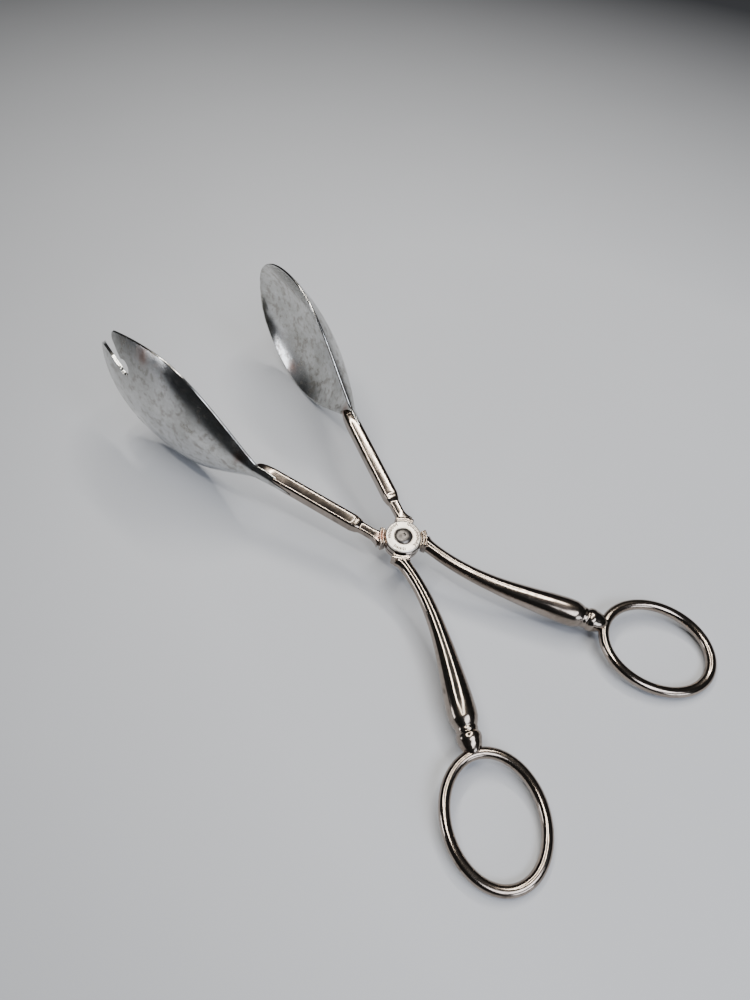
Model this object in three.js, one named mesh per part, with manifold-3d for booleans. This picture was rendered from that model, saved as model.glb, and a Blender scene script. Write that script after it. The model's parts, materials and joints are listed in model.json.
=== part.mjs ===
// Scissor-action salad servers in silver plate: a fork and a spoon on two crossing arms with finger rings.
// Millimetres, +Z up. The servers lie on a flat surface with the bowls towards +Y and the finger rings
// towards -Y, resting on the lower rims of both bowls and the undersides of both rings. The origin is
// under the middle of the whole object, on that surface.
//
// Both arms are the same casting. It is described once in the arm frame: the pivot is the origin, the
// pivot axis is Z, the bowl is at -X +Y and the finger ring at +X -Y. The spoon side is the same casting
// turned half a turn about Y, which brings its half lap under the other one.
import * as THREE from "three";
import { ParametricGeometry } from "three/addons/geometries/ParametricGeometry.js";
import { mergeVertices } from "three/addons/utils/BufferGeometryUtils.js";
import Module from "manifold-3d";

// Gap kept between pieces that touch, and running clearance of the pivot pin in its holes.
const GAP = 0.3;
const PIN_CLEARANCE = 0.08;

// Hub: two half-lap plates, each with a raised lip on both sides that keeps them centred.
const PLATE_RADIUS = 6.8;
const PLATE_THICKNESS = 2.3;
const LIP_WIDTH = 1.9;
const LIP_HALF_SPAN = THREE.MathUtils.degToRad(24);
const LIP_ANGLE = THREE.MathUtils.degToRad(47.3);
const LIP_STAND = 1.1;
const LIP_CLEARANCE = 0.35;
const PIN_RADIUS = 2;

// Pivot: a face disc in front, a washer behind, and one rivet through everything. The rivet's head and
// tail sit in shallow recesses, so the flats around them stay clear.
const DISC_RADIUS = 6.6;
const DISC_THICKNESS = 1;
const WASHER_RADIUS = 5;
const WASHER_THICKNESS = 0.8;
const RIVET_HEAD_RADIUS = 3.1;
const RIVET_HEAD_HEIGHT = 1.5;
const RIVET_TAIL_RADIUS = 2.9;
const RIVET_TAIL_HEIGHT = 1;
const RECESS_DEPTH = 0.35;

// Shank, from the hub to the bowl.
const SHANK_HALF_WIDTH = 2.9;
const SHANK_HALF_THICKNESS = 2.8;
const SHANK_NECK_HALF_WIDTH = 1.9;
const SHANK_SHOULDER = new THREE.Vector3(-9.4, 17, 0);
const SHANK_LENGTH = 35;
const SHANK_ANGLE = THREE.MathUtils.degToRad(17.7);
const SHANK_TIP_LENGTH = 10;

// Handle, from the hub to its bead. The four points are those of one cubic curve.
const HANDLE_MIDDLE_A = new THREE.Vector3(7.8, -27, 0);
const HANDLE_MIDDLE_B = new THREE.Vector3(19, -43, 0);
const HANDLE_END = new THREE.Vector3(30.2, -63.4, 0);
const HANDLE_NECK_RADIUS = 2.5;
const HANDLE_SWELL_RADIUS = 5;
const HANDLE_WAIST_RADIUS = 3.8;
const BEAD_RADIUS = 4.25;
const BEAD_LENGTH = 6.3;

// Finger ring: an oval of round wire.
const RING_LONG_RADIUS = 19.4;
const RING_SHORT_RADIUS = 15.6;
const RING_WIRE_RADIUS = 1.9;
const RING_ANGLE = THREE.MathUtils.degToRad(29.1);
const RING_SIDE_STEP = 1.3;

// Bowls: pressed shells. The rim lies in a plane square to the plane that the arms move in, apart from a
// slight sag along the sides and a hook at the front, which turns the fork's tines inwards.
const BOWL_WALL = 1.1;
const BOWL_HALF_WIDTH = 30.6;
const BOWL_WIDEST_AT = 46;
const TAIL_LENGTH = 16;
const TAIL_HALF_WIDTH = 4.3;
const TAIL_DEPTH = 2.9;
const SPOON_BOWL = {
  length: 83,
  depth: 10.5,
  deepestAt: 36,
  rimAngle: THREE.MathUtils.degToRad(9.9),
  rimSag: 1,
  hook: 0,
  hookFrom: 50,
};
const FORK_BOWL = {
  length: 90.4,
  depth: 8.2,
  deepestAt: 32,
  rimAngle: THREE.MathUtils.degToRad(11.1),
  rimSag: 1,
  hook: 5.9,
  hookFrom: 53,
};

// Fork slots: each starts in a round hole, narrows to a throat and opens out to the front edge, which
// leaves two broad outer tines and a pointed middle one.
const SLOT_HOLE_OFFSET = 15.9;
const SLOT_HOLE_FROM_FRONT = 27.8;
const SLOT_HOLE_RADIUS = 3.1;
const SLOT_THROAT = 4.4;
const MIDDLE_TINE_HALF_WIDTH = 14.5;
const MIDDLE_TINE_TIP_HALF_WIDTH = 0.8;
const MIDDLE_TINE_ROUNDING = 19;
const OUTER_TINE_TIP_OFFSET = 22.5;
const OUTER_TINE_TIP_FROM_FRONT = 15.9;

const wasm = await Module();
wasm.setup();

// --- Solids -------------------------------------------------------------------------------------------

// A geometry as a manifold-3d solid, with collapsed triangles dropped and its faces turned outwards.
function toSolid(geometry) {
  const bare = geometry.clone();
  bare.deleteAttribute("normal");
  bare.deleteAttribute("uv");
  const merged = mergeVertices(bare, 1e-4);
  const positions = merged.attributes.position.array;
  const kept = [];
  for (let i = 0; i < merged.index.count; i += 3) {
    const corner = [0, 1, 2].map((k) => merged.index.getX(i + k));
    if (new Set(corner).size === 3) kept.push(corner);
  }
  const outward = signedVolume(positions, kept) > 0;
  const triVerts = new Uint32Array(kept.flatMap(([a, b, c]) => (outward ? [a, b, c] : [a, c, b])));
  return new wasm.Manifold(new wasm.Mesh({ numProp: 3, vertProperties: positions, triVerts }));
}

function signedVolume(positions, triangles) {
  const at = (i) => new THREE.Vector3().fromArray(positions, 3 * i);
  const sixth = ([a, b, c]) => at(a).dot(at(b).cross(at(c))) / 6;
  return triangles.reduce((sum, triangle) => sum + sixth(triangle), 0);
}

// A solid back as a geometry for a mesh.
function toGeometry(solid) {
  const { vertProperties, triVerts } = solid.getMesh();
  const geometry = new THREE.BufferGeometry();
  geometry.setAttribute("position", new THREE.BufferAttribute(new Float32Array(vertProperties), 3));
  geometry.setIndex(new THREE.BufferAttribute(new Uint32Array(triVerts), 1));
  geometry.computeVertexNormals();
  return geometry;
}

function join(solids) {
  return solids.reduce((all, next) => all.add(next));
}

// --- Lofts --------------------------------------------------------------------------------------------

// A closed surface through rings of points. Each ring is a function of 0..1 round the section.
function loft(rings, sides) {
  const point = (u, v, target) => target.copy(rings[Math.round(v * (rings.length - 1))](u % 1));
  return new ParametricGeometry(point, sides, rings.length - 1);
}

// A bar of changing section along a path in the XY plane. Each profile row is the distance along the
// path, the half width in the plane, and the half thickness across it.
function bar(path, profile, sides, squareness) {
  const length = path.getLength();
  const ringAt = ([distance, width, thickness]) => {
    const along = THREE.MathUtils.clamp(distance / length, 0, 1);
    const centre = flat(path.getPointAt(along));
    const tangent = flat(path.getTangentAt(along));
    const across = new THREE.Vector3(tangent.y, -tangent.x, 0);
    return (u) => {
      const angle = 2 * Math.PI * u;
      const x = roundedCorner(Math.cos(angle), squareness) * width;
      const z = roundedCorner(Math.sin(angle), squareness) * thickness;
      return centre.clone().addScaledVector(across, x).setZ(z);
    };
  };
  const rows = spaced(profile, 4.5);
  const first = [rows[0][0], 0, 0];
  const last = [rows[rows.length - 1][0], 0, 0];
  return loft([first, ...rows, last].map(ringAt), sides);
}

function flat(point) {
  return new THREE.Vector3(point.x, point.y, 0);
}

// Sine and cosine of a superellipse: 1 gives an ellipse, less than 1 squares it.
function roundedCorner(value, squareness) {
  return Math.sign(value) * Math.abs(value) ** squareness;
}

// Extra rows so that no two neighbours are further apart than the given step.
function spaced(profile, step) {
  const rows = [profile[0]];
  for (let i = 1; i < profile.length; i += 1) {
    const [from, to] = [profile[i - 1], profile[i]];
    const parts = Math.ceil((to[0] - from[0]) / step);
    for (let k = 1; k <= parts; k += 1) {
      rows.push(from.map((value, axis) => value + ((to[axis] - value) * k) / parts));
    }
  }
  return rows;
}

// --- Arm ----------------------------------------------------------------------------------------------

const LIP_INNER_RADIUS = PLATE_RADIUS + LIP_CLEARANCE;
const LIP_OUTER_RADIUS = LIP_INNER_RADIUS + LIP_WIDTH;
const PLATE_BOTTOM = GAP / 2;
const PLATE_TOP = PLATE_BOTTOM + PLATE_THICKNESS;

// A block shaped as a lip seen from above, centred on the +Y direction turned anticlockwise by angle.
function ringSector(inner, outer, angle, bottom, top) {
  const start = Math.PI / 2 + angle - LIP_HALF_SPAN;
  const end = start + 2 * LIP_HALF_SPAN;
  const shape = new THREE.Shape();
  shape.absarc(0, 0, outer, start, end, false);
  shape.absarc(0, 0, inner, end, start, true);
  const options = { depth: top - bottom, bevelEnabled: false, curveSegments: 8 };
  return toSolid(new THREE.ExtrudeGeometry(shape, options).translate(0, 0, bottom));
}

function disc(radius, bottom, top, sides) {
  const cylinder = new THREE.CylinderGeometry(radius, radius, top - bottom, sides);
  return toSolid(cylinder.rotateX(Math.PI / 2).translate(0, 0, (bottom + top) / 2));
}

function hub() {
  const pieces = [disc(PLATE_RADIUS, PLATE_BOTTOM, PLATE_TOP, 40)];
  const lipTop = PLATE_TOP + LIP_STAND;
  for (const angle of [LIP_ANGLE, LIP_ANGLE + Math.PI]) {
    const lip = ringSector(LIP_INNER_RADIUS, LIP_OUTER_RADIUS, angle, -PLATE_TOP, lipTop);
    const web = ringSector(2 * PIN_RADIUS, LIP_OUTER_RADIUS - 1, angle, PLATE_BOTTOM, PLATE_TOP);
    pieces.push(lip, web);
  }
  return join(pieces);
}

// Where the shank and the handle grow out of the middle of a lip.
function lipRoot(angle) {
  const radius = LIP_INNER_RADIUS + 0.45 * LIP_WIDTH;
  return new THREE.Vector3(-Math.sin(angle), Math.cos(angle), 0).multiplyScalar(radius);
}

// A point reached from another by a distance along a direction given as a turn from +Y towards -X.
function step(from, angle, distance) {
  return from.clone().add(new THREE.Vector3(-Math.sin(angle), Math.cos(angle), 0).multiplyScalar(distance));
}

const SHANK_STRAIGHT_END = step(SHANK_SHOULDER, SHANK_ANGLE, SHANK_LENGTH);

function shankPath(bowl) {
  const root = lipRoot(LIP_ANGLE);
  const path = new THREE.CurvePath();
  path.add(new THREE.QuadraticBezierCurve3(root, step(SHANK_SHOULDER, SHANK_ANGLE, -7), SHANK_SHOULDER));
  path.add(new THREE.LineCurve3(SHANK_SHOULDER, SHANK_STRAIGHT_END));
  const corner = step(SHANK_STRAIGHT_END, SHANK_ANGLE, 0.45 * SHANK_TIP_LENGTH);
  const tip = step(corner, bowl.rimAngle, 0.55 * SHANK_TIP_LENGTH);
  path.add(new THREE.QuadraticBezierCurve3(SHANK_STRAIGHT_END, corner, tip));
  return path;
}

function shank(bowl) {
  const path = shankPath(bowl);
  const length = path.getLength();
  const shoulder = path.curves[0].getLength();
  const neck = SHANK_NECK_HALF_WIDTH;
  const [width, thickness] = [SHANK_HALF_WIDTH, SHANK_HALF_THICKNESS];
  const profile = [
    [0, 1.75 * neck, PLATE_TOP - 0.1],
    [1.5, 1.35 * neck, PLATE_TOP - 0.3],
    [3.5, neck, neck],
    [shoulder - 3, 1.05 * neck, neck],
    [shoulder - 0.8, 0.92 * width, 0.9 * thickness],
    [shoulder + 0.6, width, thickness],
    [length - 3, 0.94 * width, 0.94 * thickness],
    [length - 1.2, 0.8 * width, 0.8 * thickness],
    [length, 0.4 * width, 0.4 * thickness],
  ];
  return toSolid(bar(path, profile, 16, 0.8));
}

function handlePath() {
  const root = lipRoot(LIP_ANGLE + Math.PI);
  return new THREE.CubicBezierCurve3(root, HANDLE_MIDDLE_A, HANDLE_MIDDLE_B, HANDLE_END);
}

function handle() {
  const path = handlePath();
  const length = path.getLength();
  const [neck, swell, waist] = [HANDLE_NECK_RADIUS, HANDLE_SWELL_RADIUS, HANDLE_WAIST_RADIUS];
  const round = (distance, radius) => [distance, radius, radius];
  const profile = [
    [0, 1.3 * neck, PLATE_TOP - 0.1],
    [2, neck, PLATE_TOP - 0.2],
    round(12, neck),
    round(0.45 * length, neck + 0.2 * (swell - neck)),
    round(0.68 * length, neck + 0.62 * (swell - neck)),
    round(0.84 * length, neck + 0.93 * (swell - neck)),
    round(length - 6, swell),
    round(length - 3.4, 0.98 * swell),
    round(length - 1.8, 0.88 * swell),
    round(length - 0.8, 0.8 * swell),
    round(length, waist),
  ];
  return toSolid(bar(path, profile, 16, 1));
}

// The turned bead between the handle and the ring, carried on into the wire that it is fitted to.
function bead() {
  const end = step(HANDLE_END, RING_ANGLE + Math.PI, BEAD_LENGTH + RING_WIRE_RADIUS);
  const path = new THREE.LineCurve3(step(HANDLE_END, RING_ANGLE, 0.6), end);
  const round = (distance, radius) => [distance, radius, radius];
  const profile = [
    round(0, HANDLE_WAIST_RADIUS),
    round(1, HANDLE_WAIST_RADIUS),
    round(1.9, 0.88 * BEAD_RADIUS),
    round(3.1, BEAD_RADIUS),
    round(4.6, 0.97 * BEAD_RADIUS),
    round(6.2, 0.87 * BEAD_RADIUS),
    round(BEAD_LENGTH + 0.8, 0.74 * BEAD_RADIUS),
    round(BEAD_LENGTH + RING_WIRE_RADIUS, 0.55 * BEAD_RADIUS),
  ];
  return toSolid(bar(path, profile, 16, 1));
}

function armSolid(bowl) {
  const hubSpace = disc(LIP_INNER_RADIUS, -2 * PLATE_TOP, 2 * PLATE_TOP, 40);
  const limbs = join([shank(bowl), handle(), bead()]).subtract(hubSpace);
  const casting = join([hub(), limbs]);
  const pinHole = disc(PIN_RADIUS + PIN_CLEARANCE, -PLATE_TOP, 2 * PLATE_TOP, 40);
  return casting.subtract(pinHole).subtract(bowlShell(bowl, GAP)).subtract(ringWire(GAP));
}

// --- Finger ring --------------------------------------------------------------------------------------

// The oval wire. The margin is added to the wire's radius, for the cut that its seat needs.
function ringWire(margin) {
  const reach = BEAD_LENGTH + RING_WIRE_RADIUS + RING_LONG_RADIUS;
  const onAxis = step(HANDLE_END, RING_ANGLE + Math.PI, reach);
  const centre = step(onAxis, RING_ANGLE + Math.PI / 2, RING_SIDE_STEP);
  const outline = new THREE.EllipseCurve(0, 0, RING_LONG_RADIUS, RING_SHORT_RADIUS);
  const radius = RING_WIRE_RADIUS + margin;
  const point = (u, v, target) => {
    const middle = outline.getPointAt(v % 1);
    const tangent = outline.getTangentAt(v % 1);
    const angle = 2 * Math.PI * (u % 1);
    const outwards = radius * Math.cos(angle);
    target.set(middle.x + tangent.y * outwards, middle.y - tangent.x * outwards, radius * Math.sin(angle));
  };
  const wire = new ParametricGeometry(point, 12, 44);
  return toSolid(wire.rotateZ(RING_ANGLE - Math.PI / 2).translate(centre.x, centre.y, 0));
}

// --- Bowls --------------------------------------------------------------------------------------------

// The bowl starts at the shank's tip. Its rim stands off the shank's middle by what the tail holds.
function bowlFrame(bowl) {
  const tip = flat(shankPath(bowl).getPointAt(1));
  const along = new THREE.Vector3(-Math.sin(bowl.rimAngle), Math.cos(bowl.rimAngle), 0);
  const outwards = new THREE.Vector3(-Math.cos(bowl.rimAngle), -Math.sin(bowl.rimAngle), 0);
  const seat = SHANK_HALF_WIDTH + GAP + BOWL_WALL - TAIL_DEPTH;
  const start = tip.addScaledVector(along, -2).addScaledVector(outwards, seat);
  return { start, along, outwards };
}

// Half width of the outline at a distance from the bowl's start; the tail's tongue is at negative ones.
function bowlHalfWidth(bowl, distance) {
  if (distance < 0) {
    const along = 1 + distance / TAIL_LENGTH;
    return TAIL_HALF_WIDTH * (0.3 + 0.7 * Math.sin((Math.PI / 2) * along));
  }
  if (distance < BOWL_WIDEST_AT) {
    const rise = Math.sin((Math.PI / 2) * (distance / BOWL_WIDEST_AT) ** 1.12);
    return TAIL_HALF_WIDTH + (BOWL_HALF_WIDTH - TAIL_HALF_WIDTH) * rise;
  }
  const past = (distance - BOWL_WIDEST_AT) / (bowl.length - BOWL_WIDEST_AT);
  return BOWL_HALF_WIDTH * Math.sqrt(Math.max(0, 1 - past ** 2));
}

function bowlDepth(bowl, distance) {
  if (distance < 0) return TAIL_DEPTH * (1 + 0.15 * (distance / TAIL_LENGTH));
  if (distance < bowl.deepestAt) {
    const rise = Math.sin((Math.PI / 2) * (distance / bowl.deepestAt) ** 0.9);
    return TAIL_DEPTH + (bowl.depth - TAIL_DEPTH) * rise;
  }
  const past = (distance - bowl.deepestAt) / (bowl.length - bowl.deepestAt);
  return bowl.depth * Math.sqrt(Math.max(0, 1 - past ** 2));
}

// How far the rim stands out of its plane, outwards, at a distance from the bowl's start. The tail
// leans in, to lie along the shank.
function rimHeight(bowl, distance) {
  const sag = bowl.rimSag * Math.sin(Math.PI * THREE.MathUtils.clamp(distance / bowl.length, 0, 1));
  const past = Math.max(0, distance - bowl.hookFrom) / (bowl.length - bowl.hookFrom);
  const lean = Math.tan(SHANK_ANGLE - bowl.rimAngle) * Math.min(0, distance);
  return sag + lean - bowl.hook * past ** 3;
}

// A point on the back of the bowl: across runs from -1 at the lower rim to 1 at the upper rim.
function bowlPoint(bowl, frame, distance, across) {
  const bulge = rimHeight(bowl, distance) + bowlDepth(bowl, distance) * (1 - Math.abs(across) ** 2.3);
  const point = frame.start.clone().addScaledVector(frame.along, distance);
  return point.addScaledVector(frame.outwards, bulge).setZ(across * bowlHalfWidth(bowl, distance));
}

// The direction square to the bowl's back, pointing outwards.
function bowlNormal(bowl, frame, distance, across) {
  const nudge = 0.02;
  const at = (d, a) => bowlPoint(bowl, frame, d, a);
  const d = THREE.MathUtils.clamp(distance, nudge - TAIL_LENGTH, bowl.length - 40 * nudge);
  const alongEdge = at(d + nudge, across).sub(at(d - nudge, across));
  const acrossEdge = at(d, across + nudge).sub(at(d, across - nudge));
  const normal = acrossEdge.cross(alongEdge).normalize();
  return normal.dot(frame.outwards) < 0 ? normal.negate() : normal;
}

// The pressed shell. The margin is added all round, for the cut that the shank's seat needs.
function bowlShell(bowl, margin) {
  const frame = bowlFrame(bowl);
  const columns = 12;
  const rows = 22;
  const widening = 1 + margin / TAIL_HALF_WIDTH;
  const ringAt = (distance, wall) => (u) => {
    const turn = Math.round(u * 2 * (columns + 1)) % (2 * (columns + 1));
    const inside = turn > columns;
    const column = inside ? 2 * columns + 1 - turn : turn;
    const across = Math.sin((Math.PI / 2) * ((2 * column) / columns - 1));
    const back = bowlPoint(bowl, frame, distance, across);
    const offset = margin - (inside ? wall + 2 * margin : 0);
    return back.setZ(back.z * widening).addScaledVector(bowlNormal(bowl, frame, distance, across), offset);
  };
  const distances = [];
  for (let i = 0; i <= rows; i += 1) {
    const eased = 1 - (1 - i / rows) ** 1.7;
    distances.push(-TAIL_LENGTH - margin + (bowl.length + TAIL_LENGTH + margin) * eased);
  }
  const tailEdge = ringAt(distances[0], -2 * margin);
  const walls = distances.map((distance) => ringAt(distance, BOWL_WALL));
  const frontPoint = () => walls[rows](0);
  return toSolid(loft([tailEdge, ...walls, frontPoint], 2 * (columns + 1)));
}

// One slot as seen square to the rim plane, on the +Z or the -Z half of the fork's bowl.
function slotCutter(bowl, half) {
  const hole = new THREE.Vector2(SLOT_HOLE_OFFSET, bowl.length - SLOT_HOLE_FROM_FRONT);
  const throat = Math.asin(SLOT_THROAT / 2 / SLOT_HOLE_RADIUS);
  const shape = new THREE.Shape();
  shape.absarc(hole.x, hole.y, SLOT_HOLE_RADIUS, Math.PI / 2 + throat, Math.PI / 2 - throat, false);
  shape.lineTo(OUTER_TINE_TIP_OFFSET, bowl.length - OUTER_TINE_TIP_FROM_FRONT);
  shape.lineTo(2 * OUTER_TINE_TIP_OFFSET, bowl.length + SLOT_HOLE_FROM_FRONT);
  shape.lineTo(MIDDLE_TINE_TIP_HALF_WIDTH, bowl.length + SLOT_HOLE_FROM_FRONT);
  shape.lineTo(MIDDLE_TINE_TIP_HALF_WIDTH, bowl.length);
  const straight = bowl.length - MIDDLE_TINE_ROUNDING;
  const corner = straight + 0.6 * MIDDLE_TINE_ROUNDING;
  shape.quadraticCurveTo(MIDDLE_TINE_HALF_WIDTH, corner, MIDDLE_TINE_HALF_WIDTH, straight);
  const depth = 6 * bowl.depth;
  const block = new THREE.ExtrudeGeometry(shape, { depth, bevelEnabled: false, curveSegments: 8 });
  block.translate(0, 0, -depth / 2);
  const frame = bowlFrame(bowl);
  const basis = new THREE.Matrix4().makeBasis(new THREE.Vector3(0, 0, half), frame.along, frame.outwards);
  return toSolid(block.applyMatrix4(basis.setPosition(frame.start)));
}

function forkBowlSolid() {
  return bowlShell(FORK_BOWL, 0).subtract(slotCutter(FORK_BOWL, 1)).subtract(slotCutter(FORK_BOWL, -1));
}

// --- Pivot --------------------------------------------------------------------------------------------

const DISC_BOTTOM = PLATE_TOP + GAP;
const DISC_TOP = DISC_BOTTOM + DISC_THICKNESS;
const WASHER_TOP = -PLATE_TOP - GAP;
const WASHER_BOTTOM = WASHER_TOP - WASHER_THICKNESS;

// A washer from its inner face to its outer one, with a recess in the outer one for the rivet's end.
function washer(radius, innerFace, outerFace, endRadius) {
  const outwards = Math.sign(outerFace - innerFace);
  const between = (sides, rim, from, to) => disc(rim, Math.min(from, to), Math.max(from, to), sides);
  const hole = between(40, PIN_RADIUS + PIN_CLEARANCE, innerFace - outwards, outerFace + outwards);
  const recess = between(40, endRadius + GAP, outerFace - outwards * RECESS_DEPTH, outerFace + outwards);
  return between(40, radius, innerFace, outerFace).subtract(hole).subtract(recess);
}

function rivetSolid() {
  const headBottom = DISC_TOP - RECESS_DEPTH + GAP;
  const tailTop = WASHER_BOTTOM + RECESS_DEPTH - GAP;
  const profile = [new THREE.Vector2(0, tailTop - RIVET_TAIL_HEIGHT)];
  profile.push(new THREE.Vector2(0.6 * RIVET_TAIL_RADIUS, tailTop - 0.85 * RIVET_TAIL_HEIGHT));
  profile.push(new THREE.Vector2(RIVET_TAIL_RADIUS, tailTop - 0.3 * RIVET_TAIL_HEIGHT));
  profile.push(new THREE.Vector2(RIVET_TAIL_RADIUS, tailTop));
  profile.push(new THREE.Vector2(PIN_RADIUS, tailTop));
  profile.push(new THREE.Vector2(PIN_RADIUS, headBottom));
  profile.push(new THREE.Vector2(RIVET_HEAD_RADIUS, headBottom));
  for (let i = 0; i <= 4; i += 1) {
    const angle = (i / 4) * (Math.PI / 2);
    const radius = i === 4 ? 0 : RIVET_HEAD_RADIUS * Math.cos(angle);
    profile.push(new THREE.Vector2(radius, headBottom + 0.3 + (RIVET_HEAD_HEIGHT - 0.3) * Math.sin(angle)));
  }
  return toSolid(new THREE.LatheGeometry(profile, 32).rotateX(Math.PI / 2));
}

// --- Materials ----------------------------------------------------------------------------------------

function silverPlate(color, roughness) {
  return new THREE.MeshStandardMaterial({ color, roughness, metalness: 1 });
}

const ARM_PLATE = silverPlate(0xb8aea2, 0.14);
const BOWL_PLATE = silverPlate(0xc9c8c4, 0.3);
const DISC_PLATE = silverPlate(0xd9d2c8, 0.18);
const RIVET_STEEL = silverPlate(0x6f6a66, 0.32);

function mesh(name, solid, material) {
  const made = new THREE.Mesh(toGeometry(solid), material);
  made.name = name;
  return made;
}

// --- Assembly -----------------------------------------------------------------------------------------

// One side of the servers: the casting, its finger ring and its bowl.
function side(prefix, bowl, bowlSolid) {
  const group = new THREE.Group();
  group.add(mesh(prefix + "_arm", armSolid(bowl), ARM_PLATE));
  group.add(mesh(prefix + "_finger_ring", ringWire(0), ARM_PLATE));
  group.add(mesh(prefix + "_bowl", bowlSolid, BOWL_PLATE));
  return group;
}

function pivotPieces() {
  const group = new THREE.Group();
  const faceDisc = washer(DISC_RADIUS, DISC_BOTTOM, DISC_TOP, RIVET_HEAD_RADIUS);
  const backWasher = washer(WASHER_RADIUS, WASHER_TOP, WASHER_BOTTOM, RIVET_TAIL_RADIUS);
  group.add(mesh("pivot_face_disc", faceDisc, DISC_PLATE));
  group.add(mesh("pivot_back_washer", backWasher, DISC_PLATE));
  group.add(mesh("pivot_rivet", rivetSolid(), RIVET_STEEL));
  return group;
}

// Lowest height over one half of the object when it is tilted about X: the bowls' half or the rings'.
function lowest(points, tilt, half) {
  const heights = points
    .filter((point) => Math.sign(point.y) === half)
    .map((point) => point.y * Math.sin(tilt) + point.z * Math.cos(tilt));
  return heights.reduce((least, height) => Math.min(least, height));
}

// The tilt at which the bowls' rims and the rings touch one flat surface together.
function restTilt(points) {
  let [low, high] = [0, Math.PI / 4];
  for (let i = 0; i < 40; i += 1) {
    const middle = (low + high) / 2;
    if (lowest(points, middle, 1) < lowest(points, middle, -1)) low = middle;
    else high = middle;
  }
  return (low + high) / 2;
}

function worldPoints(root) {
  const points = [];
  root.updateMatrixWorld(true);
  root.traverse((object) => {
    if (!object.isMesh) return;
    const position = object.geometry.attributes.position;
    for (let i = 0; i < position.count; i += 1) {
      points.push(new THREE.Vector3().fromBufferAttribute(position, i).applyMatrix4(object.matrixWorld));
    }
  });
  return points;
}

function assembly() {
  const servers = new THREE.Group();
  servers.add(side("fork", FORK_BOWL, forkBowlSolid()));
  const spoonSide = side("spoon", SPOON_BOWL, bowlShell(SPOON_BOWL, 0));
  spoonSide.rotation.y = Math.PI;
  servers.add(spoonSide);
  servers.add(pivotPieces());
  servers.rotation.x = restTilt(worldPoints(servers));
  const box = new THREE.Box3().setFromPoints(worldPoints(servers));
  const middle = box.getCenter(new THREE.Vector3());
  servers.position.set(-middle.x, -middle.y, -box.min.z);
  const placed = new THREE.Group();
  placed.add(servers);
  return placed;
}

const group = assembly();

export default group;
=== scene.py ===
"""Silver-plated scissor-action salad servers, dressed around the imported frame.

Sizes in the classes are millimetres in the servers' own axes: the pivot is the origin, Z runs along the
rivet, Y points towards the bowls. One matrix, made from the joint in the record, takes them to the row
frame in metres. Both arms are one casting; the spoon's is turned half a turn about Y.
"""

import json
import logging
import math
from dataclasses import dataclass, field, replace
from enum import Enum
from typing import Any, Optional

import bmesh
import bpy
import numpy as np
from mathutils import Matrix, Quaternion, Vector


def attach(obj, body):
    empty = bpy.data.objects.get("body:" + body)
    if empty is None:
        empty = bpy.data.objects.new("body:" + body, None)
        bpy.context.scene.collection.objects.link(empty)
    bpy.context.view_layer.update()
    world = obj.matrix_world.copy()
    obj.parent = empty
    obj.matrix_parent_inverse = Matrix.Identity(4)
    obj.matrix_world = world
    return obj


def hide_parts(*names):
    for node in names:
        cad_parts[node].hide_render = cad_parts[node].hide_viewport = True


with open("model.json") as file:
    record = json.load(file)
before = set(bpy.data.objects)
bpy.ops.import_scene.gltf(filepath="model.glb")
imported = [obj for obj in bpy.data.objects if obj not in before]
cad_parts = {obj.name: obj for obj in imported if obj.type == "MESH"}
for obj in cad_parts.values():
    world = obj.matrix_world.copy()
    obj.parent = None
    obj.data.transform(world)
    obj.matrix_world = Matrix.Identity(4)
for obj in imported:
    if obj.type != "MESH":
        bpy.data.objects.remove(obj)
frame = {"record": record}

log = logging.getLogger("salad_servers")
MM = 0.001
# Direction of each straight shank, as a turn from +Y towards -X.
SHANK_ANGLE = math.radians(17.7)
# In a shell, vertices closer than the first are merged and edges shorter than the second are dropped.
MERGE_MM = 1e-4
SLIVER_MM = 1e-5
# Rows of two sizes: radius and height of a turned piece, or distance and half width along a bar.
Profile = list[tuple[float, float]]


class Side(Enum):
    """The two halves of the servers, by the bowl that each one carries."""

    FORK = "fork"
    SPOON = "spoon"

    @property
    def body(self) -> str:
        """Name of the rigid body that this half moves with."""
        return f"{self.value}_side"


# --- Nodes, meshes and paths --------------------------------------------------------------------------


def add(
    tree: bpy.types.NodeTree, kind: str, inputs: Optional[dict] = None, **settings: Any
) -> bpy.types.Node:
    """Adds a node with its settings, values and links.

    Args:
        tree: The node tree that takes the node.
        kind: The node's type name.
        inputs: Input name or number to a value, or to the output socket that feeds it.
        **settings: Properties of the node itself.

    Returns:
        The new node.
    """
    node = tree.nodes.new(kind)
    for name, value in settings.items():
        setattr(node, name, value)
    for name, value in (inputs or {}).items():
        if isinstance(value, bpy.types.NodeSocket):
            tree.links.new(value, node.inputs[name])
        else:
            node.inputs[name].default_value = value
    return node


def linear(hex_colour: str) -> tuple[float, float, float, float]:
    """Turns an sRGB hex colour into linear RGBA.

    Args:
        hex_colour: A colour such as "#d8d2c8".

    Returns:
        Linear red, green, blue and an alpha of 1.
    """
    parts = [int(hex_colour[i : i + 2], 16) / 255 for i in (1, 3, 5)]
    red, green, blue = (c / 12.92 if c <= 0.04045 else ((c + 0.055) / 1.055) ** 2.4 for c in parts)
    return red, green, blue, 1.0


def bezier(controls: list[Vector], count: int = 200) -> np.ndarray:
    """Points along a Bezier curve of any degree.

    Args:
        controls: The curve's control points.
        count: How many points to return.

    Returns:
        An array of points, one row each.
    """
    level = [np.repeat(np.array(c, float)[None, :], count, axis=0) for c in controls]
    share = np.linspace(0, 1, count)[:, None]
    while len(level) > 1:
        level = [a + (b - a) * share for a, b in zip(level, level[1:])]
    return level[0]


def lengths_along(path: np.ndarray) -> np.ndarray:
    """Distance from the start of a path to each of its points.

    Args:
        path: Points, one row each.

    Returns:
        One distance for each point.
    """
    steps = np.linalg.norm(np.diff(path, axis=0), axis=1)
    return np.concatenate([[0.0], np.cumsum(steps)])


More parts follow.
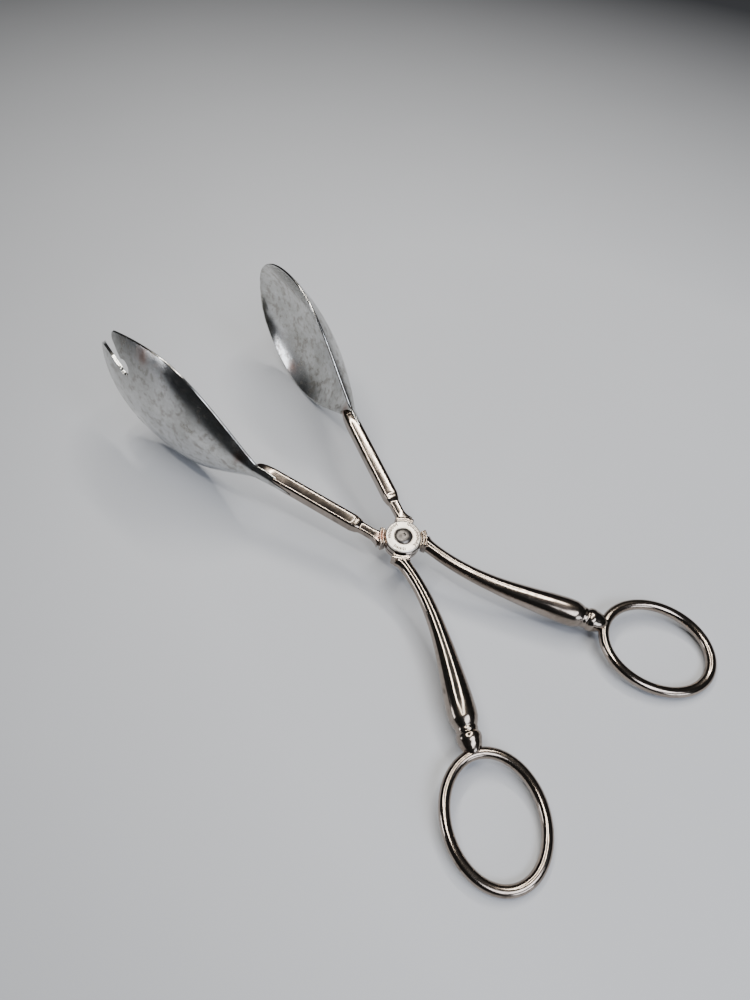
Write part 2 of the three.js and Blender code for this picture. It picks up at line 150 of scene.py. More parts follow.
def resample(path: np.ndarray, distances: np.ndarray) -> np.ndarray:
    """Points of a path at given distances from its start.

    Args:
        path: Points, one row each.
        distances: The distances wanted.

    Returns:
        One point for each distance.
    """
    along = lengths_along(path)
    return np.stack([np.interp(distances, along, path[:, axis]) for axis in range(path.shape[1])], axis=1)


def fair_curve(rows: Profile, at: np.ndarray) -> np.ndarray:
    """Smooth values through profile rows, with no overshoot between them.

    Args:
        rows: Pairs of distance and value, in order of distance.
        at: The distances wanted.

    Returns:
        The value at each distance.
    """
    x, y = (np.array(column, float) for column in zip(*rows))
    gap, rise = np.diff(x), np.diff(y) / np.diff(x)
    slope = np.concatenate([[rise[0]], np.zeros(len(x) - 2), [rise[-1]]])
    for i in range(1, len(x) - 1):
        if rise[i - 1] * rise[i] > 0:
            first, second = 2 * gap[i] + gap[i - 1], gap[i] + 2 * gap[i - 1]
            slope[i] = (first + second) / (first / rise[i - 1] + second / rise[i])
    i = np.clip(np.searchsorted(x, at, side="right") - 1, 0, len(x) - 2)
    t = np.clip((at - x[i]) / gap[i], 0, 1)
    low, high = y[i] + gap[i] * slope[i] * t * (1 - t) ** 2, gap[i] * slope[i + 1] * t**2 * (t - 1)
    return low + (y[i + 1] - y[i]) * t**2 * (3 - 2 * t) + high


def object_from(name: str, vertices: np.ndarray, faces: list[tuple[int, ...]]) -> bpy.types.Object:
    """Makes a mesh object whose faces point outwards.

    Args:
        name: The object's name.
        vertices: One row per vertex.
        faces: Vertex numbers of each face.

    Returns:
        The object, linked to the scene.
    """
    mesh = bpy.data.meshes.new(name)
    mesh.from_pydata([tuple(v) for v in vertices], [], faces)
    made = bpy.data.objects.new(name, mesh)
    bpy.context.collection.objects.link(made)
    outward(made)
    return made


def outward(piece: bpy.types.Object) -> None:
    """Merges doubled vertices of a closed shell and turns its faces outwards.

    Args:
        piece: A mesh object, in millimetres.
    """
    work = bmesh.new()
    work.from_mesh(piece.data)
    bmesh.ops.remove_doubles(work, verts=work.verts, dist=MERGE_MM)
    bmesh.ops.dissolve_degenerate(work, edges=work.edges, dist=SLIVER_MM)
    bmesh.ops.recalc_face_normals(work, faces=work.faces)
    work.to_mesh(piece.data)
    work.free()


def bands(rows: int, count: int) -> list[tuple[int, ...]]:
    """Four-sided faces between neighbouring rings, whose points are numbered ring after ring.

    Args:
        rows: How many bands there are, one fewer than the rings.
        count: Points on each ring.

    Returns:
        Vertex numbers of each face.
    """
    faces: list[tuple[int, ...]] = []
    for row in range(rows):
        for k in range(count):
            a, b = row * count + k, row * count + (k + 1) % count
            faces.append((a, b, b + count, a + count))
    return faces


def closed_loft(name: str, rings: list[np.ndarray], ends: tuple[np.ndarray, np.ndarray]) -> bpy.types.Object:
    """Skins closed rings of points and shuts both ends with a point.

    Args:
        name: The object's name.
        rings: Rings with equal numbers of points.
        ends: The first and the last point.

    Returns:
        The closed shell.
    """
    count = len(rings[0])
    vertices = np.concatenate([*rings, np.array(ends)])
    first, last = len(rings) * count, len(rings) * count + 1
    top = (len(rings) - 1) * count
    faces = bands(len(rings) - 1, count)
    faces += [(first, (k + 1) % count, k) for k in range(count)]
    faces += [(last, top + k, top + (k + 1) % count) for k in range(count)]
    return object_from(name, vertices, faces)


def lathe(name: str, profile: Profile, sides: int = 96) -> bpy.types.Object:
    """Turns a profile about Z.

    Args:
        name: The object's name.
        profile: Rows of radius and height, of which the first and the last lie on the axis.
        sides: Faces in one turn.

    Returns:
        The closed shell.
    """
    turn = np.linspace(0, 2 * math.pi, sides, endpoint=False)
    flat = np.stack([np.cos(turn), np.sin(turn), np.zeros(sides)], axis=1)
    rings = [flat * radius + np.array([0, 0, height]) for radius, height in profile[1:-1]]
    ends = np.array([0, 0, profile[0][1]]), np.array([0, 0, profile[-1][1]])
    return closed_loft(name, rings, ends)


def swung(section: np.ndarray, angle: float) -> np.ndarray:
    """Stands a section of radius and height up round Z, at an angle from +X."""
    radius, height = section[:, 0], section[:, 1]
    return np.stack([radius * math.cos(angle), radius * math.sin(angle), height], axis=1)


def evaluated(piece: bpy.types.Object) -> bpy.types.Object:
    """Turns a piece with modifiers into a plain mesh and removes the modifiers.

    Args:
        piece: The piece, with live modifiers.

    Returns:
        The same object, with its new mesh.
    """
    bpy.context.view_layer.update()
    graph = bpy.context.evaluated_depsgraph_get()
    result = bpy.data.meshes.new_from_object(piece.evaluated_get(graph))
    piece.modifiers.clear()
    piece.data = result
    return piece


def combine(base: bpy.types.Object, others: list[bpy.types.Object], operation: str) -> bpy.types.Object:
    """Joins other shells to a piece, or cuts them from it, and removes them.

    Args:
        base: The piece that is kept.
        others: Closed shells.
        operation: "UNION" or "DIFFERENCE".

    Returns:
        The piece.
    """
    for other in others:
        cut = base.modifiers.new(operation.lower(), "BOOLEAN")
        cut.operation, cut.solver, cut.object = operation, "EXACT", other
    evaluated(base)
    for other in others:
        bpy.data.objects.remove(other)
    return base


def smooth_with_edges(piece: bpy.types.Object, limit_deg: float) -> None:
    """Shades a piece smooth, apart from its sharp edges.

    Args:
        piece: A mesh object.
        limit_deg: Angle between two faces, in degrees, from which their edge stays sharp.
    """
    work = bmesh.new()
    work.from_mesh(piece.data)
    for face in work.faces:
        face.smooth = True
    for edge in work.edges:
        angle = edge.calc_face_angle(0.0) if len(edge.link_faces) == 2 else 0.0
        edge.smooth = angle < math.radians(limit_deg)
    work.to_mesh(piece.data)
    work.free()


# --- Geometry Nodes trees -----------------------------------------------------------------------------


@dataclass
class GrownTree:
    """A Geometry Nodes tree with named inputs, and how it is run on a base mesh."""

    name: str
    inputs: dict[str, str]
    tree: bpy.types.NodeTree = field(init=False)
    start: bpy.types.Node = field(init=False)

    def __post_init__(self) -> None:
        """Makes the empty tree with its interface."""
        self.tree = bpy.data.node_groups.new(self.name, "GeometryNodeTree")
        self.tree.interface.new_socket("Geometry", in_out="INPUT", socket_type="NodeSocketGeometry")
        for label, kind in self.inputs.items():
            self.tree.interface.new_socket(label, in_out="INPUT", socket_type=f"NodeSocket{kind}")
        self.tree.interface.new_socket("Geometry", in_out="OUTPUT", socket_type="NodeSocketGeometry")
        self.start = self.tree.nodes.new("NodeGroupInput")

    def add(self, kind: str, inputs: Optional[dict] = None, **settings: Any) -> bpy.types.Node:
        """Adds a node to this tree."""
        return add(self.tree, kind, inputs, **settings)

    def finish(self, geometry: bpy.types.NodeSocket) -> None:
        """Ends the tree: real geometry, smooth shading, and the material.

        Args:
            geometry: Socket with the finished shape.
        """
        real = self.add("GeometryNodeRealizeInstances", {"Geometry": geometry})
        smooth = self.add("GeometryNodeSetShadeSmooth", {"Geometry": real.outputs[0]})
        inputs = {"Geometry": smooth.outputs[0], "Material": self.start.outputs["Material"]}
        dressed = self.add("GeometryNodeSetMaterial", inputs)
        self.add("NodeGroupOutput", {"Geometry": dressed.outputs[0]})

    def grow(self, name: str, base: bpy.types.Mesh, values: dict[str, Any]) -> bpy.types.Object:
        """Runs the tree on a base mesh.

        Args:
            name: The new object's name.
            base: The mesh that the tree starts from.
            values: Value of each named input.

        Returns:
            An object with the result as a plain mesh.
        """
        made = bpy.data.objects.new(name, base)
        bpy.context.collection.objects.link(made)
        modifier = made.modifiers.new(self.name, "NODES")
        modifier.node_group = self.tree
        sockets = {s.name: s.identifier for s in self.tree.interface.items_tree if s.in_out == "INPUT"}
        for label, value in values.items():
            modifier[sockets[label]] = value
        return evaluated(made)


def swept_bar_tree() -> GrownTree:
    """Bar of changing size swept along a polyline that carries "radius" and "flatness" on its points.

    Returns:
        The tree. Squareness 1 gives a round section, less squares it. The path lies in the XY plane.
    """
    grown = GrownTree("swept_bar", {"Sides": "Int", "Squareness": "Float", "Material": "Material"})
    start = grown.start.outputs
    circle = grown.add("GeometryNodeCurvePrimitiveCircle", {"Resolution": start["Sides"], "Radius": 1.0})
    place = grown.add("ShaderNodeSeparateXYZ", {0: grown.add("GeometryNodeInputPosition").outputs[0]})
    cornered = []
    for axis in (0, 1):
        size = grown.add("ShaderNodeMath", {0: place.outputs[axis]}, operation="ABSOLUTE")
        power = grown.add("ShaderNodeMath", {0: size.outputs[0], 1: start["Squareness"]}, operation="POWER")
        sign = grown.add("ShaderNodeMath", {0: place.outputs[axis]}, operation="SIGN")
        inputs = {0: power.outputs[0], 1: sign.outputs[0]}
        cornered.append(grown.add("ShaderNodeMath", inputs, operation="MULTIPLY").outputs[0])
    section_place = grown.add("ShaderNodeCombineXYZ", {"X": cornered[0], "Y": cornered[1]})
    inputs = {"Geometry": circle.outputs[0], "Position": section_place.outputs[0]}
    section = grown.add("GeometryNodeSetPosition", inputs)
    curve = grown.add("GeometryNodeMeshToCurve", {"Mesh": start["Geometry"]})
    level = grown.add("GeometryNodeSetCurveNormal", {"Curve": curve.outputs[0]}, mode="Z_UP")
    radius = grown.add("GeometryNodeInputNamedAttribute", {"Name": "radius"}, data_type="FLOAT")
    inputs = {"Curve": level.outputs[0], "Profile Curve": section.outputs[0], "Scale": radius.outputs[0]}
    bar = grown.add("GeometryNodeCurveToMesh", {**inputs, "Fill Caps": True})
    flat = grown.add("GeometryNodeInputNamedAttribute", {"Name": "flatness"}, data_type="FLOAT")
    where = grown.add("ShaderNodeSeparateXYZ", {0: grown.add("GeometryNodeInputPosition").outputs[0]})
    inputs = {0: where.outputs[2], 1: flat.outputs[0]}
    height = grown.add("ShaderNodeMath", inputs, operation="MULTIPLY")
    inputs = {"X": where.outputs[0], "Y": where.outputs[1], "Z": height.outputs[0]}
    pressed = grown.add("ShaderNodeCombineXYZ", inputs)
    inputs = {"Geometry": bar.outputs[0], "Position": pressed.outputs[0]}
    grown.finish(grown.add("GeometryNodeSetPosition", inputs).outputs[0])
    return grown


def oval_wire_tree() -> GrownTree:
    """Closed oval of round wire.

    Returns:
        The tree. The oval lies in the XY plane, with its long axis along X.
    """
    oval_points, wire_sides = 160, 36
    sizes = {"Long Radius": "Float", "Short Radius": "Float", "Wire Radius": "Float", "Material": "Material"}
    grown = GrownTree("oval_wire", sizes)
    start = grown.start.outputs
    loop = grown.add("GeometryNodeCurvePrimitiveCircle", {"Resolution": oval_points, "Radius": 1.0})
    place = grown.add("GeometryNodeInputPosition")
    inputs = {"X": start["Long Radius"], "Y": start["Short Radius"], "Z": 1.0}
    factors = grown.add("ShaderNodeCombineXYZ", inputs)
    inputs = {0: place.outputs[0], 1: factors.outputs[0]}
    oval_place = grown.add("ShaderNodeVectorMath", inputs, operation="MULTIPLY")
    inputs = {"Geometry": loop.outputs[0], "Position": oval_place.outputs[0]}
    oval = grown.add("GeometryNodeSetPosition", inputs)
    inputs = {"Resolution": wire_sides, "Radius": start["Wire Radius"]}
    wire = grown.add("GeometryNodeCurvePrimitiveCircle", inputs)
    inputs = {"Curve": oval.outputs[0], "Profile Curve": wire.outputs[0]}
    grown.finish(grown.add("GeometryNodeCurveToMesh", inputs).outputs[0])
    return grown


def struck_marks_tree() -> GrownTree:
    """Row of short strokes round an arc, every other one shorter.

    Returns:
        The tree. The arc lies in the XY plane about the origin, and each stroke points away from it.
    """
    shortening = 0.35
    sizes = {"Count": "Int", "Start": "Float", "Step": "Float", "Radius": "Float", "Stroke": "Vector"}
    grown = GrownTree("struck_marks", {**sizes, "Material": "Material"})
    start = grown.start.outputs
    row = grown.add("GeometryNodeMeshLine", {"Count": start["Count"]})
    index = grown.add("GeometryNodeInputIndex")
    inputs = {0: index.outputs[0], 1: start["Step"], 2: start["Start"]}
    turn = grown.add("ShaderNodeMath", inputs, operation="MULTIPLY_ADD")
    waves = []
    for wave in ("COSINE", "SINE"):
        unit = grown.add("ShaderNodeMath", {0: turn.outputs[0]}, operation=wave)
        inputs = {0: unit.outputs[0], 1: start["Radius"]}
        waves.append(grown.add("ShaderNodeMath", inputs, operation="MULTIPLY").outputs[0])
    spot = grown.add("ShaderNodeCombineXYZ", {"X": waves[0], "Y": waves[1]})
    inputs = {"Geometry": row.outputs[0], "Position": spot.outputs[0]}
    arc = grown.add("GeometryNodeSetPosition", inputs)
    stroke = grown.add("GeometryNodeMeshCube", {"Size": start["Stroke"]})
    euler = grown.add("ShaderNodeCombineXYZ", {"Z": turn.outputs[0]})
    rotation = grown.add("FunctionNodeEulerToRotation", {0: euler.outputs[0]})
    odd = grown.add("ShaderNodeMath", {0: index.outputs[0], 1: 2.0}, operation="MODULO")
    inputs = {0: odd.outputs[0], 1: -shortening, 2: 1.0}
    length = grown.add("ShaderNodeMath", inputs, operation="MULTIPLY_ADD")
    scale = grown.add("ShaderNodeCombineXYZ", {"X": length.outputs[0], "Y": 1.0, "Z": 1.0})
    inputs = {"Points": arc.outputs[0], "Instance": stroke.outputs[0]}
    inputs |= {"Rotation": rotation.outputs[0], "Scale": scale.outputs[0]}
    grown.finish(grown.add("GeometryNodeInstanceOnPoints", inputs).outputs[0])
    return grown


def path_mesh(name: str, path: np.ndarray, radius: np.ndarray, flatness: np.ndarray) -> bpy.types.Mesh:
    """A polyline mesh that a swept bar follows.

    Args:
        name: The mesh's name.
        path: Points of the middle line, one row each.
        radius: The bar's half width at each point.
        flatness: The bar's height at each point, as a share of its width.

    Returns:
        The mesh, with both measures on its points.
    """
    mesh = bpy.data.meshes.new(name)
    mesh.from_pydata([tuple(p) for p in path], [(i, i + 1) for i in range(len(path) - 1)], [])
    for label, values in (("radius", radius), ("flatness", flatness)):
        mesh.attributes.new(label, "FLOAT", "POINT").data.foreach_set("value", values.astype(np.float32))
    return mesh


# --- Finishes -----------------------------------------------------------------------------------------


def blank_material(name: str) -> tuple[bpy.types.Material, bpy.types.NodeTree, bpy.types.NodeSocket]:
    """Starts a node material.

    Args:
        name: The material's name.

    Returns:
        The material, its tree, and the socket that gives each point's place in metres.
    """
    material = bpy.data.materials.new(name)
    material.use_nodes = True
    tree = material.node_tree
    tree.nodes.clear()
    return material, tree, add(tree, "ShaderNodeTexCoord").outputs["Object"]


@dataclass(frozen=True)
class SilverPlate:
    """Silver plate: a bright, slightly warm metal that clouds, yellows and pits where the plate is thin.

    A share is about how much of the surface is covered, and a depth without a unit is how strongly.
    """

    name: str
    colour: str
    cloud_colour: str
    stain_colour: str
    roughness: float
    cloud_roughness: float
    cloud_share: float
    stain_share: float
    cloud_mm: float = 14.0
    cloud_soft: float = 0.24
    stain_mm: float = 5.0
    stain_soft: float = 0.12
    stain_depth: float = 0.6
    speckle_mm: float = 1.2
    speckle_share: float = 0.5
    speckle_soft: float = 0.3
    speckle_depth: float = 0.25
    stain_roughness: float = 0.12
    pit_mm: float = 0.7
    pit_depth_mm: float = 0.012
    pit_strength: float = 0.35
    wave_mm: float = 6.25
    wave_depth_mm: float = 0.06
    wave_strength: float = 0.3
    wear_colour: str = "#8a6f62"
    wear_grain_mm: float = 2.381
    wear_depth: float = 0.75
    wear_spots: tuple[tuple[float, float, float, float], ...] = ()

    def build(self) -> bpy.types.Material:
        """Makes the node material.

        Returns:
            The material.
        """
        material, tree, place = blank_material(self.name)
        rows = (
            (self.cloud_mm, self.cloud_share, self.cloud_soft, 1.0),
            (self.stain_mm, self.stain_share, self.stain_soft, self.stain_depth),
            (self.speckle_mm, self.speckle_share, self.speckle_soft, self.speckle_depth),
        )
        cloud, stain, speckle = (self._patches(tree, place, *row) for row in rows)
        inputs = {0: cloud, 6: linear(self.colour), 7: linear(self.cloud_colour)}
        colour = add(tree, "ShaderNodeMix", inputs, data_type="RGBA").outputs[2]
        for mask in (stain, speckle):
            inputs = {0: mask, 6: colour, 7: linear(self.stain_colour)}
            colour = add(tree, "ShaderNodeMix", inputs, data_type="RGBA").outputs[2]
        colour = self._wear(tree, place, colour)
        inputs = {0: cloud, 2: self.roughness, 3: self.cloud_roughness}
        rough = add(tree, "ShaderNodeMix", inputs, data_type="FLOAT").outputs[0]
        inputs = {0: stain, 1: self.stain_roughness, 2: rough}
        rough = add(tree, "ShaderNodeMath", inputs, operation="MULTIPLY_ADD").outputs[0]
        shader = add(tree, "ShaderNodeBsdfPrincipled", {"Metallic": 1.0})
        tree.links.new(colour, shader.inputs["Base Color"])
        tree.links.new(rough, shader.inputs["Roughness"])
        tree.links.new(self._pits(tree, place), shader.inputs["Normal"])
        add(tree, "ShaderNodeOutputMaterial", {"Surface": shader.outputs[0]})
        return material

    def _patches(
        self,
        tree: bpy.types.NodeTree,
        place: bpy.types.NodeSocket,
        size_mm: float,
        share: float,
        soft: float,
        depth: float,
    ) -> bpy.types.NodeSocket:
        """Mask of cloudy patches.

        Args:
            tree: The material's tree.
            place: Each point's place.
            size_mm: Size of a patch.
            share: About how much of the surface the patches cover.
            soft: How wide their edges are, in steps of the noise.
            depth: The mask's value inside a patch.

        Returns:
            The mask's socket.
        """
        inputs = {"Vector": place, "Scale": 1 / (size_mm * MM), "Detail": 6.0, "Roughness": 0.62}
        noise = add(tree, "ShaderNodeTexNoise", inputs)
        # The noise spreads about 0.5, so an edge of 0.68 leaves almost no patches and 0.32 almost no gaps.
        edge = 0.68 - 0.36 * share
        inputs = {"Value": noise.outputs[0], "From Min": edge - soft / 2, "From Max": edge + soft / 2}
        return add(tree, "ShaderNodeMapRange", {**inputs, "To Max": depth}).outputs[0]

    def _wear(
        self, tree: bpy.types.NodeTree, place: bpy.types.NodeSocket, colour: bpy.types.NodeSocket
    ) -> bpy.types.NodeSocket:
        """Lets tarnish or brass show through at the worn spots, each a centre and a radius in metres.

        Args:
            tree: The material's tree.
            place: Each point's place.
            colour: The plate's colour.

        Returns:
            The colour with its worn spots.
        """
        grain_scale = 1 / (self.wear_grain_mm * MM)
        for x, y, z, radius in self.wear_spots:
            inputs = {0: place, 1: (x, y, z)}
            away = add(tree, "ShaderNodeVectorMath", inputs, operation="DISTANCE").outputs["Value"]
            grain = add(tree, "ShaderNodeTexNoise", {"Vector": place, "Scale": grain_scale, "Detail": 4.0})
            inputs = {0: grain.outputs[0], 1: radius, 2: away}
            # The grain adds up to a radius to the distance, which makes the spot's edge ragged.
            ragged = add(tree, "ShaderNodeMath", inputs, operation="MULTIPLY_ADD")
            inputs = {"Value": ragged.outputs[0], "From Min": 1.45 * radius, "From Max": 0.7 * radius}
            mask = add(tree, "ShaderNodeMapRange", {**inputs, "To Max": self.wear_depth})
            inputs = {0: mask.outputs[0], 6: colour, 7: linear(self.wear_colour)}
            colour = add(tree, "ShaderNodeMix", inputs, data_type="RGBA").outputs[2]
        return colour

    def _pits(self, tree: bpy.types.NodeTree, place: bpy.types.NodeSocket) -> bpy.types.NodeSocket:
        """Fine pits, and the long soft waves that hand polishing leaves.

        Args:
            tree: The material's tree.
            place: Each point's place.

        Returns:
            The normal's socket.
        """
        inputs = {"Vector": place, "Scale": 1 / (self.pit_mm * MM), "Detail": 4.0}
        pits = add(tree, "ShaderNodeTexNoise", inputs)
        inputs = {"Strength": self.pit_strength, "Distance": self.pit_depth_mm * MM}
        fine = add(tree, "ShaderNodeBump", {**inputs, "Height": pits.outputs[0]})
        inputs = {"Vector": place, "Scale": 1 / (self.wave_mm * MM), "Detail": 1.0}
        waves = add(tree, "ShaderNodeTexNoise", inputs)
        inputs = {"Strength": self.wave_strength, "Distance": self.wave_depth_mm * MM}
        inputs |= {"Height": waves.outputs[0], "Normal": fine.outputs[0]}
        return add(tree, "ShaderNodeBump", inputs).outputs[0]


@dataclass(frozen=True)
class RivetSteel:
    """Plain mild steel, dull and spotted from handling."""

    name: str = "rivet_mild_steel"
    colour: str = "#7c7976"
    spot_colour: str = "#57524f"
    spot_mm: float = 1.111
    spot_depth_mm: float = 0.03
    roughness: float = 0.3

    def build(self) -> bpy.types.Material:
        """Makes the node material.

        Returns:
            The material.
        """
        material, tree, place = blank_material(self.name)
        inputs = {"Vector": place, "Scale": 1 / (self.spot_mm * MM), "Detail": 5.0}
        spots = add(tree, "ShaderNodeTexNoise", inputs)
        inputs = {0: spots.outputs[0], 6: linear(self.spot_colour), 7: linear(self.colour)}
        colour = add(tree, "ShaderNodeMix", inputs, data_type="RGBA")
        inputs = {"Value": spots.outputs[0], "To Min": self.roughness - 0.08, "To Max": self.roughness + 0.15}
        rough = add(tree, "ShaderNodeMapRange", inputs)
        inputs = {"Strength": 0.25, "Distance": self.spot_depth_mm * MM, "Height": spots.outputs[0]}
        bump = add(tree, "ShaderNodeBump", inputs)
        inputs = {"Base Color": colour.outputs[2], "Roughness": rough.outputs[0], "Normal": bump.outputs[0]}
        shader = add(tree, "ShaderNodeBsdfPrincipled", {**inputs, "Metallic": 1.0})
        add(tree, "ShaderNodeOutputMaterial", {"Surface": shader.outputs[0]})
        return material


@dataclass(frozen=True)
class MarkOxide:
    """Brown oxide of the kind that stays in struck marks, where polishing never reaches."""

    name: str = "oxide_in_struck_marks"
    colour: str = "#6b4f3e"
    dark_colour: str = "#3d2d25"
    grain_mm: float = 0.4
    roughness: float = 0.8

    def build(self) -> bpy.types.Material:
        """Makes the node material.

        Returns:
            The material.
        """
        material, tree, place = blank_material(self.name)
        inputs = {"Vector": place, "Scale": 1 / (self.grain_mm * MM), "Detail": 3.0}
        dirt = add(tree, "ShaderNodeTexNoise", inputs)
        inputs = {0: dirt.outputs[0], 6: linear(self.dark_colour), 7: linear(self.colour)}
        colour = add(tree, "ShaderNodeMix", inputs, data_type="RGBA")
        inputs = {"Base Color": colour.outputs[2], "Metallic": 0.1, "Roughness": self.roughness}
        shader = add(tree, "ShaderNodeBsdfPrincipled", inputs)
        add(tree, "ShaderNodeOutputMaterial", {"Surface": shader.outputs[0]})
        return material


# --- Placing ------------------------------------------------------------------------------------------


@dataclass(frozen=True)
class PivotFrame:
    """The servers' own axes in the row frame."""

    origin: Vector
    axis: Vector

    @classmethod
    def from_record(cls, record: dict) -> "PivotFrame":
        """Reads the pivot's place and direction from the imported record's joint.

        Args:
            record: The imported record.

        Returns:
            The frame, in metres.
        """
        joint = record["behaviour"]["joints"][0]
        return cls(Vector(joint["pos_m"]), Vector(joint["axis"]).normalized())

    def matrix(self, side: Side = Side.FORK) -> Matrix:
        """Takes millimetres in a side's own axes to metres in the row frame.

        Args:
            side: The side whose axes are meant. The spoon's are turned half a turn about Y.

        Returns:
            The matrix.
        """
        across = Vector((1, 0, 0))
        turned = Matrix((across, self.axis.cross(across), self.axis)).transposed().to_4x4()
        half_turn = Matrix.Rotation(math.pi if side is Side.SPOON else 0.0, 4, "Y")
        return Matrix.Translation(self.origin) @ turned @ half_turn @ Matrix.Scale(MM, 4)

    def settle(self, piece: bpy.types.Object, side: Side, body: str, nodes: list[str], slot: str) -> None:
        """Args:
            piece: The piece, in millimetres in its side's axes.
            side: The side whose axes it is made in.
            body: The body that it moves with.
            nodes: CAD nodes that it stands for.
            slot: The record's material slot; not used.
        """
        piece.data.transform(self.matrix(side))
        piece.data.update()
        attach(piece, body)
        if nodes:
            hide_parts(*nodes)
        log.info("%s: %d faces on %s", piece.name, len(piece.data.polygons), body)


def step(start: Vector, angle: float, distance: float) -> Vector:
    """A point some distance from another, along a direction given as a turn from +Y towards -X."""
    return start + Vector((-math.sin(angle), math.cos(angle), 0)) * distance


# --- Casting ------------------------------------------------------------------------------------------


@dataclass
class Casting:
    """One arm: half-lap hub with its two lips, the shank to the bowl, the handle and its bead."""

    plate_radius: float = 6.8
    plate_bottom: float = 0.15
    plate_top: float = 2.45
    lip_inner: float = 7.15
    lip_outer: float = 9.15
    lip_stand: float = 1.1
    lip_angle: float = math.radians(47.3)
    lip_half_span: float = math.radians(24)
    shank_half_width: float = 2.9
    shank_half_thickness: float = 2.8
    neck_half_width: float = 1.9
    shoulder: Vector = field(default_factory=lambda: Vector((-9.4, 17, 0)))
    shank_length: float = 35.0
    shank_angle: float = SHANK_ANGLE
    shank_tip: float = 10.0
    handle_a: Vector = field(default_factory=lambda: Vector((7.8, -27, 0)))
    handle_b: Vector = field(default_factory=lambda: Vector((19, -43, 0)))
    handle_end: Vector = field(default_factory=lambda: Vector((30.2, -63.4, 0)))
    handle_neck: float = 2.5
    handle_swell: float = 5.0
    handle_waist: float = 3.8
    bead_radius: float = 4.25
    bead_length: float = 6.3
    ring_angle: float = math.radians(29.1)

    def lip_root(self, turn: float) -> Vector:
        """Middle of a lip, where a limb grows out."""
        return step(Vector((0, 0, 0)), self.lip_angle + turn, self.lip_inner + 0.9)

    def shank_path(self, rim_angle: float) -> tuple[np.ndarray, float]:
        """Middle line of the shank.

        Args:
            rim_angle: Direction of the bowl, which the tip bends to.

        Returns:
            The path, and the distance along it to the shoulder.
        """
        straight_end = step(self.shoulder, self.shank_angle, self.shank_length)
        corner = step(straight_end, self.shank_angle, 0.45 * self.shank_tip)
        tip = step(corner, rim_angle, 0.55 * self.shank_tip)
        root = bezier([self.lip_root(0), step(self.shoulder, self.shank_angle, -7), self.shoulder])
        straight = bezier([self.shoulder, straight_end])[1:]
        bend = bezier([straight_end, corner, tip])[1:]
        return np.concatenate([root, straight, bend]), lengths_along(root)[-1]

    def handle_path(self) -> tuple[np.ndarray, float]:
        """Middle line of the handle and its bead.

        Returns:
            The path, and the length of the handle alone.
        """
        curve = bezier([self.lip_root(math.pi), self.handle_a, self.handle_b, self.handle_end])
        end = step(self.handle_end, self.ring_angle + math.pi, self.bead_length + 3.0)
        return np.concatenate([curve, bezier([self.handle_end, end])[1:]]), lengths_along(curve)[-1]

    def build(
        self, side: Side, rim_angle: float, sweep: GrownTree, metal: bpy.types.Material
    ) -> bpy.types.Object:
        """Builds the whole casting as one closed shell.

        Args:
            side: Which half it belongs to.
            rim_angle: Direction of its bowl.
            sweep: The tree that sweeps a bar along a path.
            metal: The casting's material.

        Returns:
            The casting, in millimetres.
        """
        name = f"{side.value}_arm_casting"
        hub = lathe(name, self._plate_profile())
        lips = [self._lip(turn) for turn in (0.0, math.pi)]
        limbs = [self._shank(rim_angle, sweep, metal), self._handle(sweep, metal)]
        for limb in limbs:
            outward(limb)
        combine(hub, lips + limbs, "UNION")
        hub.data.materials.clear()
        hub.data.materials.append(metal)
        smooth_with_edges(hub, 38)
        return hub

    def _plate_profile(self) -> Profile:
        """Profile of the lap plate, with its edges just broken."""
        low, high, rim, broken = self.plate_bottom, self.plate_top, self.plate_radius, 0.2
        under = [(0, low), (rim - broken, low), (rim, low + broken)]
        return under + [(rim, high - broken), (rim - broken, high), (0, high)]

    def _lip(self, turn: float) -> bpy.types.Object:
        """One lip: two rounded ridges with a groove between them on the outer face, plain below.

        Args:
            turn: Turn about Z from the shank's lip, 0 for that one and half a turn for the handle's.

        Returns:
            The lip and the web that joins it to the plate, as one shell.
        """
        top, low = self.plate_top + self.lip_stand, -self.plate_top
        inner, outer = self.lip_inner, self.lip_outer
        groove = inner + 0.98
        ridge = [(outer, top - 0.75), (outer - 0.12, top - 0.3), (outer - 0.4, top - 0.12)]
        ridge += [(groove + 0.32, top - 0.13), (groove + 0.14, top - 0.24), (groove, top - 0.36)]
        ridge += [(groove - 0.14, top - 0.22), (groove - 0.32, top), (inner + 0.3, top + 0.02)]
        ridge += [(inner + 0.08, top - 0.12), (inner, top - 0.4)]
        foot = [(inner, low + 0.3), (inner + 0.1, low + 0.08), (inner + 0.35, low)]
        foot += [(outer - 0.5, low), (outer - 0.15, low + 0.15), (outer, low + 0.5)]
        section = np.array(ridge + foot)
        middle = section.mean(axis=0)
        rings = []
        for share in np.linspace(-1, 1, 49):
            pinch = (max(0.0, abs(share) - 0.9) / 0.1) ** 2
            shape = middle + (section - middle) * (1 - 0.22 * pinch)
            angle = math.pi / 2 + self.lip_angle + turn + self.lip_half_span * share
            rings.append(swung(shape, angle))
        ends = rings[0].mean(axis=0), rings[-1].mean(axis=0)
        lip = closed_loft("lip", rings, ends)
        web = self._web(turn)
        return combine(lip, [web], "UNION")

    def _web(self, turn: float) -> bpy.types.Object:
        """Web that joins a lip to the lap plate.

        Args:
            turn: The lip's turn about Z.

        Returns:
            The closed shell.
        """
        low, high = self.plate_bottom, self.plate_top
        near, far = 4.0, self.lip_outer - 1.0
        corners = np.array([(near, low), (far, low), (far, high), (near, high)])
        rings = []
        for share in np.linspace(-0.98, 0.98, 9):
            angle = math.pi / 2 + self.lip_angle + turn + self.lip_half_span * share
            rings.append(swung(corners, angle))
        return closed_loft("web", rings, (rings[0].mean(axis=0), rings[-1].mean(axis=0)))

